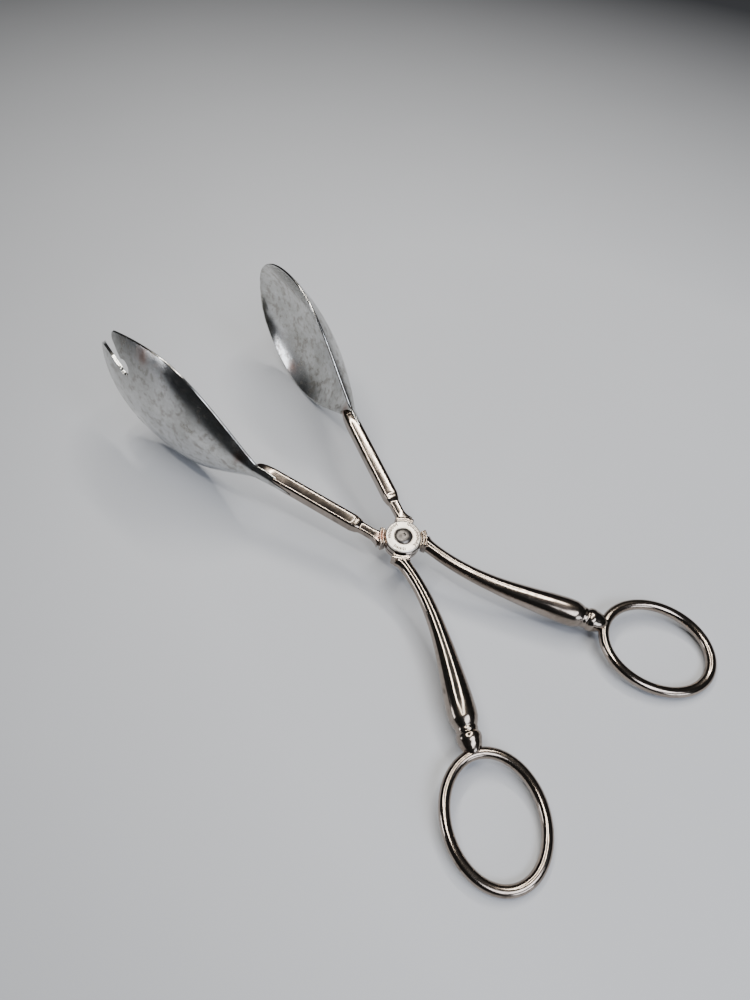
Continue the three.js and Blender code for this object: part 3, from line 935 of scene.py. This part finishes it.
    def _shank(self, rim_angle: float, sweep: GrownTree, metal: bpy.types.Material) -> bpy.types.Object:
        """Square-shouldered bar with flats, from its narrow neck at the hub to its rounded tip.

        Args:
            rim_angle: Direction of the bowl.
            sweep: The tree that sweeps a bar along a path.
            metal: The casting's material.

        Returns:
            The shank.
        """
        path, shoulder = self.shank_path(rim_angle)
        length = lengths_along(path)[-1]
        neck, wide, thick = self.neck_half_width, self.shank_half_width, self.shank_half_thickness
        width = [(0, 1.8 * neck), (1.6, 1.3 * neck), (4, neck), (shoulder - 3.4, 1.05 * neck)]
        width += [(shoulder - 1.9, 1.3 * neck), (shoulder - 0.7, 0.93 * wide), (shoulder + 0.5, wide)]
        width += [(length - 9, 0.98 * wide), (length - 5, 0.86 * wide), (length - 2.2, 0.64 * wide)]
        width += [(length - 0.7, 0.4 * wide), (length, 0.12 * wide)]
        height = [(0, self.plate_top - 0.1), (4, neck), (shoulder - 3.4, neck), (shoulder - 1.9, 1.25 * neck)]
        height += [(shoulder - 0.7, 0.92 * thick), (shoulder + 0.5, thick), (length - 9, 0.98 * thick)]
        height += [(length - 5, 0.88 * thick), (length - 2.2, 0.66 * thick), (length - 0.7, 0.4 * thick)]
        height += [(length, 0.12 * thick)]
        at = np.unique(np.concatenate([np.arange(0, length, 0.45), np.linspace(length - 2, length, 14)]))
        radius = fair_curve(width, at)
        base = path_mesh("shank", resample(path, at), radius, fair_curve(height, at) / radius)
        return sweep.grow("shank", base, {"Sides": 64, "Squareness": 0.5, "Material": metal})

    def _handle(self, sweep: GrownTree, metal: bpy.types.Material) -> bpy.types.Object:
        """Round handle that swells towards the ring, then the waist, the bead and its soldered foot.

        Args:
            sweep: The tree that sweeps a bar along a path.
            metal: The casting's material.

        Returns:
            The handle.
        """
        path, length = self.handle_path()
        total = lengths_along(path)[-1]
        neck, swell, waist, bead = self.handle_neck, self.handle_swell, self.handle_waist, self.bead_radius
        rows = [(0, 1.35 * neck), (2.2, 1.04 * neck), (6, 0.98 * neck), (12, neck)]
        rows += [(0.45 * length, neck + 0.2 * (swell - neck)), (0.68 * length, neck + 0.62 * (swell - neck))]
        rows += [(0.84 * length, neck + 0.93 * (swell - neck)), (length - 6, swell)]
        rows += [(length - 3.4, 0.98 * swell), (length - 1.8, 0.9 * swell), (length - 0.8, 0.82 * swell)]
        rows += [(length - 0.1, waist), (length + 0.6, waist), (length + 1.2, 0.86 * bead)]
        rows += [(length + 2.2, 0.98 * bead), (length + 3.2, bead), (length + 4.6, 0.92 * bead)]
        rows += [(length + 5.8, 0.84 * bead), (length + 6.8, 0.74 * bead), (length + 7.8, 0.6 * bead)]
        rows += [(length + 8.6, 0.42 * bead), (total, 0.2 * bead)]
        at = np.unique(np.concatenate([np.arange(0, length - 4, 0.5), np.arange(length - 4, total, 0.16)]))
        radius = fair_curve(rows, at)
        thickness = fair_curve([(0, self.plate_top - 0.1), (3, 0.98 * neck), (6, 0.98 * neck)], at)
        flatness = np.where(at < 6, thickness / radius, 1.0)
        base = path_mesh("handle", resample(path, at), radius, np.minimum(flatness, 1.0))
        return sweep.grow("handle", base, {"Sides": 48, "Squareness": 1.0, "Material": metal})


# --- Finger ring --------------------------------------------------------------------------------------


@dataclass
class FingerRing:
    """Oval of round wire, soldered in the end of the bead."""

    long_radius: float = 19.4
    short_radius: float = 15.6
    wire_radius: float = 1.9
    side_step: float = 1.3

    def build(
        self, side: Side, casting: Casting, wire: GrownTree, metal: bpy.types.Material
    ) -> bpy.types.Object:
        """Builds the ring where the casting's bead ends.

        Args:
            side: Which half it belongs to.
            casting: The arm that carries it.
            wire: The tree that makes an oval of wire.
            metal: The ring's material.

        Returns:
            The ring, in millimetres.
        """
        sizes = {"Long Radius": self.long_radius, "Short Radius": self.short_radius}
        sizes |= {"Wire Radius": self.wire_radius, "Material": metal}
        name = f"{side.value}_ring_wire"
        made = wire.grow(name, bpy.data.meshes.new(name), sizes)
        reach = casting.bead_length + self.wire_radius + self.long_radius
        on_axis = step(casting.handle_end, casting.ring_angle + math.pi, reach)
        centre = step(on_axis, casting.ring_angle + math.pi / 2, self.side_step)
        turn = Matrix.Rotation(casting.ring_angle - math.pi / 2, 4, "Z")
        made.data.transform(Matrix.Translation(centre) @ turn)
        outward(made)
        return made


# --- Bowls --------------------------------------------------------------------------------------------


@dataclass
class Bowl:
    """Pressed shell. Distances run from the bowl's start, at the shank's tip, to its front."""

    length: float
    depth: float
    deepest_at: float
    rim_angle: float
    rim_sag: float
    hook: float
    hook_from: float
    wall: float = 1.1
    half_width: float = 30.6
    widest_at: float = 46.0
    tail_length: float = 16.0
    tail_half_width: float = 4.3
    tail_depth: float = 2.9
    outline_power: float = 1.12
    depth_power: float = 0.9
    section_power: float = 2.3
    shank_angle: float = SHANK_ANGLE

    def outline(self, d: np.ndarray) -> np.ndarray:
        """Half width of the outline.

        Args:
            d: Distances from the bowl's start, below zero on the tongue over the shank.

        Returns:
            The half width at each distance.
        """
        tail = self.tail_half_width
        tongue = tail * (0.3 + 0.7 * np.sin(math.pi / 2 * (1 + np.minimum(d, 0) / self.tail_length)))
        share = np.clip(d / self.widest_at, 0, 1)
        back = tail + (self.half_width - tail) * np.sin(math.pi / 2 * share**self.outline_power)
        past = np.clip((d - self.widest_at) / (self.length - self.widest_at), 0, 1)
        front = self.half_width * np.sqrt(np.maximum(0, 1 - past**2))
        return np.where(d < 0, tongue, np.where(d < self.widest_at, back, front))

    def height(self, d: np.ndarray, across: np.ndarray) -> np.ndarray:
        """How far the back of the shell stands out of the rim plane.

        Args:
            d: Distances from the bowl's start.
            across: Distances from its middle line.

        Returns:
            The height of each point.
        """
        d = np.minimum(d, self.length - 0.004)
        tail = self.tail_depth * (1 + 0.15 * np.minimum(d, 0) / self.tail_length)
        share = np.clip(d / self.deepest_at, 0, 1)
        rise = np.sin(math.pi / 2 * share**self.depth_power)
        back = self.tail_depth + (self.depth - self.tail_depth) * rise
        past = np.clip((d - self.deepest_at) / (self.length - self.deepest_at), 0, 1)
        front = self.depth * np.sqrt(np.maximum(0, 1 - past**2))
        deep = np.where(d < 0, tail, np.where(d < self.deepest_at, back, front))
        sag = self.rim_sag * np.sin(math.pi * np.clip(d / self.length, 0, 1))
        bent = np.maximum(0, d - self.hook_from) / (self.length - self.hook_from)
        lean = math.tan(self.shank_angle - self.rim_angle) * np.minimum(d, 0)
        share = np.abs(across) / np.maximum(self.outline(d), 0.05)
        return sag + lean - self.hook * bent**3 + deep * (1 - np.minimum(share, 1.4) ** self.section_power)

    def axes(self, casting: Casting) -> tuple[np.ndarray, np.ndarray, np.ndarray]:
        """The bowl's own axes.

        Args:
            casting: The arm that carries it.

        Returns:
            The start point, the direction along the bowl, and the outward direction.
        """
        tip = casting.shank_path(self.rim_angle)[0][-1]
        along = np.array([-math.sin(self.rim_angle), math.cos(self.rim_angle), 0])
        outwards = np.array([-math.cos(self.rim_angle), -math.sin(self.rim_angle), 0])
        seat = casting.shank_half_width + self.wall - self.tail_depth + 0.05
        return tip - 2 * along + seat * outwards, along, outwards

    def point(self, casting: Casting, d: np.ndarray, across: np.ndarray) -> np.ndarray:
        """Points on the back of the shell.

        Args:
            casting: The arm that carries it.
            d: Distances from the bowl's start.
            across: Distances from its middle line.

        Returns:
            The points, in the side's own axes.
        """
        start, along, outwards = self.axes(casting)
        out = self.height(d, across)
        return start + d[:, None] * along + out[:, None] * outwards + across[:, None] * np.array([0, 0, 1])

    def build(self, side: Side, casting: Casting, metal: bpy.types.Material) -> bpy.types.Object:
        """Builds the shell on a net of rays from its widest point to its rim.

        Args:
            side: Which half it belongs to.
            casting: The arm that carries it.
            metal: The bowl's material.

        Returns:
            The bowl, in millimetres.
        """
        rim = self._rim(300)
        start, along, outwards = self.axes(casting)
        back_rings, inner_rings = [], []
        for share in np.sin(np.linspace(0.03, math.pi / 2, 52)):
            flat = np.array([self.widest_at, 0]) + (rim - [self.widest_at, 0]) * share
            d, w = flat[:, 0], flat[:, 1]
            point = self.point(casting, d, w)
            normal = self._normals(d, w, along, outwards)
            back_rings.append(point)
            inner_rings.append(point - normal * self.wall)
        edge = self._rolled_edge(back_rings[-1], inner_rings[-1], start + self.widest_at * along)
        rings = back_rings + edge + inner_rings[::-1]
        ends = back_rings[0].mean(axis=0), inner_rings[0].mean(axis=0)
        made = closed_loft(f"{side.value}_bowl_shell", rings, ends)
        made.data.materials.append(metal)
        return made

    def _rim(self, count: int) -> np.ndarray:
        """Closed outline of the shell, evenly spaced along its length.

        Args:
            count: How many points to return.

        Returns:
            Rows of distance and width.
        """
        inset = self.wall / 2
        turn = np.linspace(0, math.pi / 2, 400)
        front = self.widest_at + (self.length - inset - self.widest_at) * np.cos(turn)
        d = np.concatenate([front, np.linspace(self.widest_at, -self.tail_length, 400)[1:]])
        scale = (self.length - self.widest_at) / (self.length - inset - self.widest_at)
        past = self.widest_at + (d - self.widest_at) * np.where(d > self.widest_at, scale, 1)
        w = np.maximum(self.outline(past) - inset, 0) * (d < self.length - inset - 1e-9)
        end = np.linspace(w[-1], 0, 30)[1:]
        tongue_end = np.stack([d[-1] - 0.6 * (1 - (end / w[-1]) ** 2), end], 1)
        half = np.concatenate([np.stack([d, w], 1), tongue_end])
        loop = np.concatenate([half, (half * [1, -1])[::-1][1:]])
        total = lengths_along(loop)[-1]
        return resample(loop, np.linspace(0, total, count, endpoint=False))

    def _normals(self, d: np.ndarray, w: np.ndarray, along: np.ndarray, outwards: np.ndarray) -> np.ndarray:
        """Direction square to the back of the shell.

        Args:
            d: Distances from the bowl's start.
            w: Distances from its middle line.
            along: Direction along the bowl.
            outwards: Outward direction.

        Returns:
            A unit vector for each point.
        """
        nudge = 0.04
        near = np.minimum(d, self.length - 0.15)
        by_d = (self.height(near + nudge, w) - self.height(near - nudge, w)) / (2 * nudge)
        by_w = (self.height(near, w + nudge) - self.height(near, w - nudge)) / (2 * nudge)
        normal = outwards - by_d[:, None] * along - by_w[:, None] * np.array([0, 0, 1])
        return normal / np.linalg.norm(normal, axis=1)[:, None]

    def _rolled_edge(self, back: np.ndarray, inner: np.ndarray, middle: np.ndarray) -> list[np.ndarray]:
        """Half-round edge between the two faces of the shell.

        Args:
            back: Last ring of the back.
            inner: Last ring of the inside.
            middle: A point inside the outline, which the edge turns away from.

        Returns:
            The edge's rings, from the back to the inside.
        """
        centre = (back + inner) / 2
        normal = (back - inner) / 2
        radius = np.linalg.norm(normal, axis=1)[:, None]
        tangent = np.roll(centre, -1, axis=0) - np.roll(centre, 1, axis=0)
        away = np.cross(tangent, normal)
        away = away / np.linalg.norm(away, axis=1)[:, None]
        sign = np.sign(np.sum(away * (centre - middle), axis=1))[:, None]
        turns = np.linspace(0, math.pi, 8)[1:-1]
        return [centre + normal * math.cos(t) + away * sign * radius * math.sin(t) for t in turns]


@dataclass
class ForkBowl(Bowl):
    """Bowl whose front is cut into three tines by two keyhole slots."""

    hole_offset: float = 15.9
    hole_from_front: float = 27.8
    hole_radius: float = 3.1
    throat: float = 4.4
    middle_half_width: float = 14.5
    middle_tip: float = 0.8
    middle_rounding: float = 19.0
    outer_tip: float = 22.5
    outer_tip_from_front: float = 15.9
    broken_edge: float = 0.22

    def build(self, side: Side, casting: Casting, metal: bpy.types.Material) -> bpy.types.Object:
        """Builds the shell and cuts both slots, then breaks the cut edges.

        Args:
            side: Which half it belongs to.
            casting: The arm that carries it.
            metal: The bowl's material.

        Returns:
            The bowl, in millimetres.
        """
        made = super().build(side, casting, metal)
        combine(made, [self._slot(casting, half) for half in (1, -1)], "DIFFERENCE")
        edge = made.modifiers.new("broken_edges", "BEVEL")
        edge.width, edge.segments = self.broken_edge, 2
        edge.limit_method, edge.angle_limit = "ANGLE", math.radians(55)
        return evaluated(made)

    def _slot(self, casting: Casting, half: int) -> bpy.types.Object:
        """Cutter for one slot: round hole, throat, and two edges that open out to the front.

        Args:
            casting: The arm that carries the bowl.
            half: 1 or -1, for the half of the bowl that the slot is in.

        Returns:
            The closed cutter.
        """
        start, along, outwards = self.axes(casting)
        hole = np.array([self.hole_offset, self.length - self.hole_from_front])
        mouth = math.asin(self.throat / 2 / self.hole_radius)
        turns = np.linspace(math.pi / 2 + mouth, math.pi * 5 / 2 - mouth, 30)
        loop = [hole + self.hole_radius * np.array([math.cos(t), math.sin(t)]) for t in turns]
        reach = self.length - self.outer_tip_from_front
        # Control points round the outer tine's tip, from its slot side to its outer side.
        outer_tine = [(-1.9, -4.5), (-1.0, -0.4), (0.4, -0.2), (1.6, -1.4), (3.9, -5.5)]
        outer_tine = [Vector((self.outer_tip + x, reach + y)) for x, y in outer_tine]
        straight = self.length - self.middle_rounding
        middle_tine = [Vector((self.middle_tip, self.length))]
        middle_tine += [Vector((self.middle_half_width, straight + 0.6 * self.middle_rounding))]
        middle_tine += [Vector((self.middle_half_width, straight))]
        loop += list(bezier(outer_tine, 18))
        clear_side, clear_front = 60.0, self.length + 20
        loop += [np.array([clear_side, reach]), np.array([clear_side, clear_front])]
        loop += [np.array([self.middle_tip, clear_front])]
        loop += list(bezier(middle_tine, 24))
        flat = np.array(loop) * [half, 1]
        rings = []
        for height in (-30.0, 0.0, 30.0):
            rings.append(start + flat[:, 1:] * along + flat[:, :1] * np.array([0, 0, 1]) + height * outwards)
        count = len(flat)
        ends = [tuple(range(count)), tuple(range(2 * count, 3 * count))]
        return object_from("slot_cutter", np.concatenate(rings), ends + bands(2, count))


# --- Pivot --------------------------------------------------------------------------------------------


@dataclass
class Pivot:
    """Face disc with its struck marks, rivet with a domed head, and the washer behind."""

    disc_radius: float = 6.6
    disc_bottom: float = 2.75
    disc_top: float = 3.75
    washer_radius: float = 5.0
    washer_top: float = -2.75
    washer_bottom: float = -3.55
    recess: float = 0.35
    head_radius: float = 3.3
    recess_gap: float = 0.08
    head_height: float = 1.5
    tail_radius: float = 2.9
    tail_height: float = 1.0
    tail_gap: float = 0.3
    seat: float = 0.05
    pin_radius: float = 2.0
    mark_radius: float = 5.3
    mark_size: tuple[float, float, float] = (1.25, 0.34, 0.12)
    mark_stand: float = 0.015
    mark_arcs: tuple[tuple[float, float, int], ...] = ((76.0, 6.5, 12), (-84.0, 6.1, 20), (189.0, 6.3, 8))

    def disc(self, metal: bpy.types.Material) -> bpy.types.Object:
        """The bright disc, very slightly crowned, with a broken edge and the rivet's recess.

        Args:
            metal: The disc's material.

        Returns:
            The disc, in millimetres.
        """
        low, high, rim = self.disc_bottom, self.disc_top, self.disc_radius
        inner = self.head_radius + self.recess_gap
        profile = [(0, low), (rim - 0.15, low), (rim, low + 0.15), (rim, high - 0.42)]
        profile += [(rim - 0.1, high - 0.26), (rim - 0.32, high - 0.14), (rim - 0.7, high - 0.08)]
        profile += [(rim - 1.6, high - 0.03), (inner + 0.5, high), (inner + 0.12, high - 0.02)]
        profile += [(inner, high - 0.12), (inner - 0.05, high - self.recess)]
        return self._turned("pivot_disc", [*profile, (0, high - self.recess)], metal)

    def washer(self, metal: bpy.types.Material) -> bpy.types.Object:
        """The plain washer behind.

        Args:
            metal: The washer's material.

        Returns:
            The washer, in millimetres.
        """
        low, high, rim = self.washer_bottom, self.washer_top, self.washer_radius
        inner = self.tail_radius + self.tail_gap
        profile = [(0, low + self.recess), (inner, low + self.recess)]
        profile += [(inner + 0.05, low + 0.08), (inner + 0.15, low)]
        profile += [(rim - 0.2, low), (rim, low + 0.2), (rim, high - 0.1), (rim - 0.1, high), (0, high)]
        return self._turned("pivot_back_plate", profile, metal)

    def rivet(self, metal: bpy.types.Material) -> bpy.types.Object:
        """The rivet: peened tail, pin, and a domed head with a small pip in its middle.

        Args:
            metal: The rivet's material.

        Returns:
            The rivet, in millimetres.
        """
        head = self.disc_top - self.recess + self.seat
        tail = self.washer_bottom + self.recess - self.seat
        profile = [(0, tail - self.tail_height)]
        for turn in np.linspace(0.15, math.pi / 2, 8):
            drop = 0.2 + (self.tail_height - 0.2) * math.cos(turn)
            profile.append((self.tail_radius * math.sin(turn), tail - drop))
        profile += [(self.tail_radius, tail), (self.pin_radius, tail), (self.pin_radius, head)]
        profile += [(self.head_radius - 0.05, head), (self.head_radius, head + 0.1)]
        for turn in np.linspace(0.06, math.pi / 2 - 0.28, 14):
            rise = 0.22 + (self.head_height - 0.42) * math.sin(turn)
            profile.append((self.head_radius * math.cos(turn), head + rise))
        top = profile[-1][1]
        profile += [(0.62, top + 0.02), (0.5, top + 0.08), (0.34, top + 0.15)]
        profile += [(0.15, top + 0.18), (0, top + 0.19)]
        return self._turned("pivot_rivet_pin", profile, metal)

    def marks(self, tree: GrownTree, oxide: bpy.types.Material) -> bpy.types.Object:
        """Plain strokes in arcs round the disc, standing a hair proud of it so that they show.

        Each arc is the turn of its first stroke and the step to the next, in degrees, and their count.

        Args:
            tree: The tree that sets strokes round an arc.
            oxide: The strokes' material.

        Returns:
            All the strokes as one piece, in millimetres.
        """
        work = bmesh.new()
        for start, pitch, count in self.mark_arcs:
            values = {"Count": count, "Start": math.radians(start), "Step": math.radians(pitch)}
            values |= {"Radius": self.mark_radius, "Stroke": self.mark_size, "Material": oxide}
            arc = tree.grow("struck_marks", bpy.data.meshes.new("struck_marks"), values)
            work.from_mesh(arc.data)
            bpy.data.objects.remove(arc)
        middle = self.disc_top + self.mark_stand - self.mark_size[2] / 2
        bmesh.ops.translate(work, verts=work.verts, vec=(0, 0, middle))
        mesh = bpy.data.meshes.new("pivot_disc_marks")
        work.to_mesh(mesh)
        work.free()
        mesh.materials.append(oxide)
        made = bpy.data.objects.new("pivot_disc_marks", mesh)
        bpy.context.collection.objects.link(made)
        return made

    @staticmethod
    def _turned(name: str, profile: Profile, metal: bpy.types.Material) -> bpy.types.Object:
        """Turns a profile and dresses it.

        Args:
            name: The piece's name.
            profile: Rows of radius and height.
            metal: The piece's material.

        Returns:
            The piece, in millimetres.
        """
        made = lathe(name, profile, 128)
        made.data.materials.append(metal)
        smooth_with_edges(made, 40)
        return made


# --- Studio -------------------------------------------------------------------------------------------


@dataclass(frozen=True)
class LightPanel:
    """Rectangular area light, with its places and its length and width in metres."""

    name: str
    centre: Vector
    aim: Vector
    along: Vector
    size: tuple[float, float]
    watts: float
    colour: str

    def hang(self) -> None:
        """Adds the light, facing its aim, with its length along the given direction."""
        data = bpy.data.lights.new(self.name, "AREA")
        data.shape, data.energy = "RECTANGLE", self.watts
        data.size, data.size_y = self.size
        data.color = linear(self.colour)[:3]
        lamp = bpy.data.objects.new(self.name, data)
        away = (self.centre - self.aim).normalized()
        level = (self.along - self.along.dot(away) * away).normalized()
        turned = Matrix((level, away.cross(level), away)).transposed().to_4x4()
        lamp.matrix_world = Matrix.Translation(self.centre) @ turned
        bpy.context.collection.objects.link(lamp)


@dataclass
class Studio:
    """Floor with a painted pool of light round the servers, a rectangle of light strips overhead, three cool
    panels, and the camera.

    Places are millimetres from the pivot, except for the floor's painted pool of light, which is in metres.
    """

    camera_from_pivot: Vector = field(default_factory=lambda: Vector((-104.9, -98.5, 213.0)))
    camera_target: Vector = field(default_factory=lambda: Vector((5.1, 20.9, 0.0)))
    camera_roll: float = math.radians(-0.95)
    lens: float = 24.83
    frame_centre: Vector = field(default_factory=lambda: Vector((120, 200, 960)))
    frame_size: tuple[float, float] = (820.0, 560.0)
    frame_turn: float = 0.15
    strip_width: float = 55.0
    strip_watts: tuple[float, float] = (5.2, 3.3)
    strip_colour: str = "#fffaf2"
    low_panel: tuple[float, float, float] = (-120, -1150, 330)
    near_panel: tuple[float, float, float] = (-60, -560, 620)
    near_panel_aim: tuple[float, float, float] = (60, -140, 0)
    side_panel: tuple[float, float, float] = (-780, 450, 150)
    room_colour: str = "#8c9094"
    room_strength: float = 0.1
    floor_half: float = 4.0
    mottle_mm: float = 111.1
    board_colours: tuple[str, str] = ("#b3b6bb", "#b9bcc1")
    # Painted pool of light on the floor: the dark colour of the painted shade far off, and where the pale
    # pool lies and how far it reaches.
    painted_shade_far_colour: str = "#34363a"
    painted_light_pool_centre: tuple[float, float, float] = (0.08, -0.06, 0.0)
    painted_light_pool_stretch: tuple[float, float, float] = (1.0, 0.6, 1.0)
    painted_light_pool_reach: tuple[float, float] = (0.16, 0.6)

    def floor(self) -> bpy.types.Object:
        """Wide matt floor in pale grey board, with a painted pool of light round the servers and painted
        shade beyond.

        Returns:
            The floor.
        """
        half = self.floor_half
        corners = np.array([(-half, -half, 0), (half, -half, 0), (half, half, 0), (-half, half, 0)])
        floor = object_from("studio_floor", corners, [(0, 1, 2, 3)])
        if floor.data.polygons[0].normal.z < 0:
            floor.data.flip_normals()
        floor.data.materials.append(self._board())
        return floor

    def _board(self) -> bpy.types.Material:
        """Matt laminated board with a painted pool of light: pale where the servers lie, painted dark towards
        the walls as shade.

        Returns:
            The material.
        """
        material, tree, place = blank_material("matt_board_painted_light_pool")
        inputs = {"Vector": place, "Scale": 1 / (self.mottle_mm * MM), "Detail": 5.0}
        mottle = add(tree, "ShaderNodeTexNoise", inputs)
        dark, pale = (linear(tone) for tone in self.board_colours)
        inputs = {0: mottle.outputs[0], 6: dark, 7: pale}
        colour = add(tree, "ShaderNodeMix", inputs, data_type="RGBA")
        # Painted pool of light: the board turns from its mottled grey to painted shade with distance from the
        # servers.
        stretched = add(tree, "ShaderNodeVectorMath", {0: place, 1: self.painted_light_pool_stretch}, operation="MULTIPLY")
        inputs = {0: stretched.outputs[0], 1: self.painted_light_pool_centre}
        away = add(tree, "ShaderNodeVectorMath", inputs, operation="DISTANCE").outputs["Value"]
        inputs = {"Value": away, "From Min": self.painted_light_pool_reach[0], "From Max": self.painted_light_pool_reach[1]}
        share = add(tree, "ShaderNodeMapRange", inputs).outputs[0]
        inputs = {0: share, 6: colour.outputs[2], 7: linear(self.painted_shade_far_colour)}
        colour = add(tree, "ShaderNodeMix", inputs, data_type="RGBA")
        inputs = {"Base Color": colour.outputs[2], "Roughness": 0.55}
        shader = add(tree, "ShaderNodeBsdfPrincipled", {**inputs, "Specular IOR Level": 0.25})
        add(tree, "ShaderNodeOutputMaterial", {"Surface": shader.outputs[0]})
        return material

    def lights(self, pivot: Vector) -> None:
        """Hangs the frame of strips and the panels, and sets the dim room.

        Args:
            pivot: The pivot's place, in metres.
        """
        centre = pivot + self.frame_centre * MM
        away = (centre - pivot).normalized()
        across = Vector((1, self.frame_turn, 0))
        across = (across - across.dot(away) * away).normalized()
        upward = away.cross(across)
        long, short, wide = self.frame_size[0] * MM, self.frame_size[1] * MM, self.strip_width * MM
        long_watts, short_watts = self.strip_watts
        along, beside = (long + wide, wide), (short - wide, wide)
        warm = self.strip_colour
        for sign in (-1, 1):
            middle = centre + upward * sign * short / 2
            LightPanel("frame_long", middle, middle - away, across, along, long_watts, warm).hang()
            middle = centre + across * sign * long / 2
            LightPanel("frame_short", middle, middle - away, upward, beside, short_watts, warm).hang()
        spots = (self.low_panel, self.near_panel, self.side_panel)
        low, near, side = (pivot + Vector(spot) * MM for spot in spots)
        near_aim = pivot + Vector(self.near_panel_aim) * MM
        row_x, row_y = Vector((1, 0, 0)), Vector((0, 1, 0))
        LightPanel("low_panel", low, pivot, row_x, size=(0.5, 0.34), watts=3.0, colour="#e6efff").hang()
        LightPanel("near_panel", near, near_aim, row_x, size=(0.55, 0.3), watts=4.6, colour="#eef3ff").hang()
        LightPanel("side_panel", side, pivot, row_y, size=(0.26, 0.14), watts=1.0, colour="#f4f6ff").hang()
        world = bpy.data.worlds.new("dim_room")
        world.use_nodes = True
        background = world.node_tree.nodes["Background"].inputs
        background["Color"].default_value = linear(self.room_colour)
        background["Strength"].default_value = self.room_strength
        bpy.context.scene.world = world

    def camera(self, pivot: Vector) -> None:
        """Places the camera, looking down past the hub.

        Args:
            pivot: The pivot's place, in metres.
        """
        data = bpy.data.cameras.new("camera")
        data.lens, data.sensor_width, data.sensor_fit = self.lens, 36.0, "AUTO"
        made = bpy.data.objects.new("camera", data)
        made.location = pivot + self.camera_from_pivot * MM
        facing = (self.camera_target - self.camera_from_pivot).normalized()
        level = facing.to_track_quat("-Z", "Y")
        made.rotation_mode = "QUATERNION"
        made.rotation_quaternion = Quaternion(facing, self.camera_roll) @ level
        bpy.context.collection.objects.link(made)
        bpy.context.scene.camera = made


# --- Assembly -----------------------------------------------------------------------------------------

# Silver plate on the arms: polished by handling, so it mirrors the room, with a warm cast where it is thin.
ARM_PLATE = SilverPlate(
    name="silver_plate_on_cast_brass",
    colour="#a89c91",
    cloud_colour="#8d8278",
    stain_colour="#50463d",
    roughness=0.11,
    cloud_roughness=0.2,
    cloud_share=0.35,
    stain_share=0.14,
    wear_colour="#b58a78",
)
# Silver plate on the pressed bowls: worn to a soft satin, clouded by drying marks.
BOWL_PLATE = SilverPlate(
    name="worn_silver_plate_on_bowls",
    colour="#cfd0cf",
    cloud_colour="#b4b5b2",
    stain_colour="#857f75",
    roughness=0.13,
    cloud_roughness=0.23,
    cloud_share=0.5,
    stain_share=0.34,
    cloud_mm=16.0,
    stain_mm=3.2,
)
# Silver plate on the pivot's disc and washer: the brightest surface, flat and soft.
DISC_PLATE = SilverPlate(
    name="bright_silver_plate_on_disc",
    colour="#fbf6ee",
    cloud_colour="#f1e9dd",
    stain_colour="#b3a28f",
    roughness=0.36,
    cloud_roughness=0.42,
    cloud_share=0.3,
    stain_share=0.08,
)
# Radii of the worn spots at the shank's tip and on the lip, in millimetres.
SHANK_TIP_WEAR, LIP_WEAR = 4.5, 3.0
# Worn spots on each bowl, behind its rim and by its shank: distance from its start, distance from its
# middle line, and radius, in millimetres.
BOWL_WEAR = ((53.0, 27.0, 5.0), (6.0, 6.0, 4.0))


def worn(plate: SilverPlate, piece: str, spots: list[tuple[Vector, float]]) -> bpy.types.Material:
    """The same plate as one piece shows it, worn through at its own spots.

    Args:
        plate: The finish.
        piece: The piece's name, which the material's name ends with.
        spots: Centre of each spot and its radius, in metres.

    Returns:
        The material.
    """
    places = tuple((*centre, radius) for centre, radius in spots)
    return replace(plate, name=f"{plate.name}_{piece}", wear_spots=places).build()


def main() -> None:
    """Builds every piece in order, then the studio, and reports each through the log."""
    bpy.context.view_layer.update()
    place = PivotFrame.from_record(frame["record"])
    sweep, wire, marks = swept_bar_tree(), oval_wire_tree(), struck_marks_tree()
    disc_plate = DISC_PLATE.build()
    casting, ring = Casting(), FingerRing()
    bowls: dict[Side, Bowl] = {
        Side.FORK: ForkBowl(
            length=90.4,
            depth=8.2,
            deepest_at=32.0,
            rim_angle=math.radians(11.1),
            rim_sag=1.0,
            hook=5.9,
            hook_from=53.0,
        ),
        Side.SPOON: Bowl(
            length=83.0,
            depth=10.5,
            deepest_at=36.0,
            rim_angle=math.radians(9.9),
            rim_sag=1.0,
            hook=0.0,
            hook_from=50.0,
        ),
    }
    for side, bowl in bowls.items():
        matrix = place.matrix(side)
        shank_tip = matrix @ Vector(casting.shank_path(bowl.rim_angle)[0][-1])
        lip = matrix @ (casting.lip_root(0) + Vector((0, 0, casting.plate_top)))
        arm_plate = worn(ARM_PLATE, side.value, [(shank_tip, SHANK_TIP_WEAR * MM), (lip, LIP_WEAR * MM)])
        distances, widths, radii = np.array(BOWL_WEAR).T
        spots = [matrix @ Vector(spot) for spot in bowl.point(casting, distances, widths)]
        bowl_plate = worn(BOWL_PLATE, side.value, [(spot, r * MM) for spot, r in zip(spots, radii)])
        arm = casting.build(side, bowl.rim_angle, sweep, arm_plate)
        place.settle(arm, side, side.body, [f"{side.value}_arm"], "plated_arm")
        loop = ring.build(side, casting, wire, arm_plate)
        place.settle(loop, side, side.body, [f"{side.value}_finger_ring"], "plated_ring")
        shell = bowl.build(side, casting, bowl_plate)
        smooth_with_edges(shell, 50)
        place.settle(shell, side, side.body, [f"{side.value}_bowl"], "plated_bowl")
    pivot = Pivot()
    turned: list[tuple[bpy.types.Object, list[str], str]] = [
        (pivot.disc(disc_plate), ["pivot_face_disc"], "pivot_disc"),
        (pivot.marks(marks, MarkOxide().build()), [], "pivot_disc"),
        (pivot.washer(disc_plate), ["pivot_back_washer"], "pivot_disc"),
        (pivot.rivet(RivetSteel().build()), ["pivot_rivet"], "rivet_steel"),
    ]
    for piece, nodes, slot in turned:
        place.settle(piece, Side.FORK, "spoon_side", nodes, slot)
    studio = Studio()
    studio.floor()
    studio.lights(place.origin)
    studio.camera(place.origin)


if __name__ == "__main__":
    logging.basicConfig(level=logging.INFO)
    main()
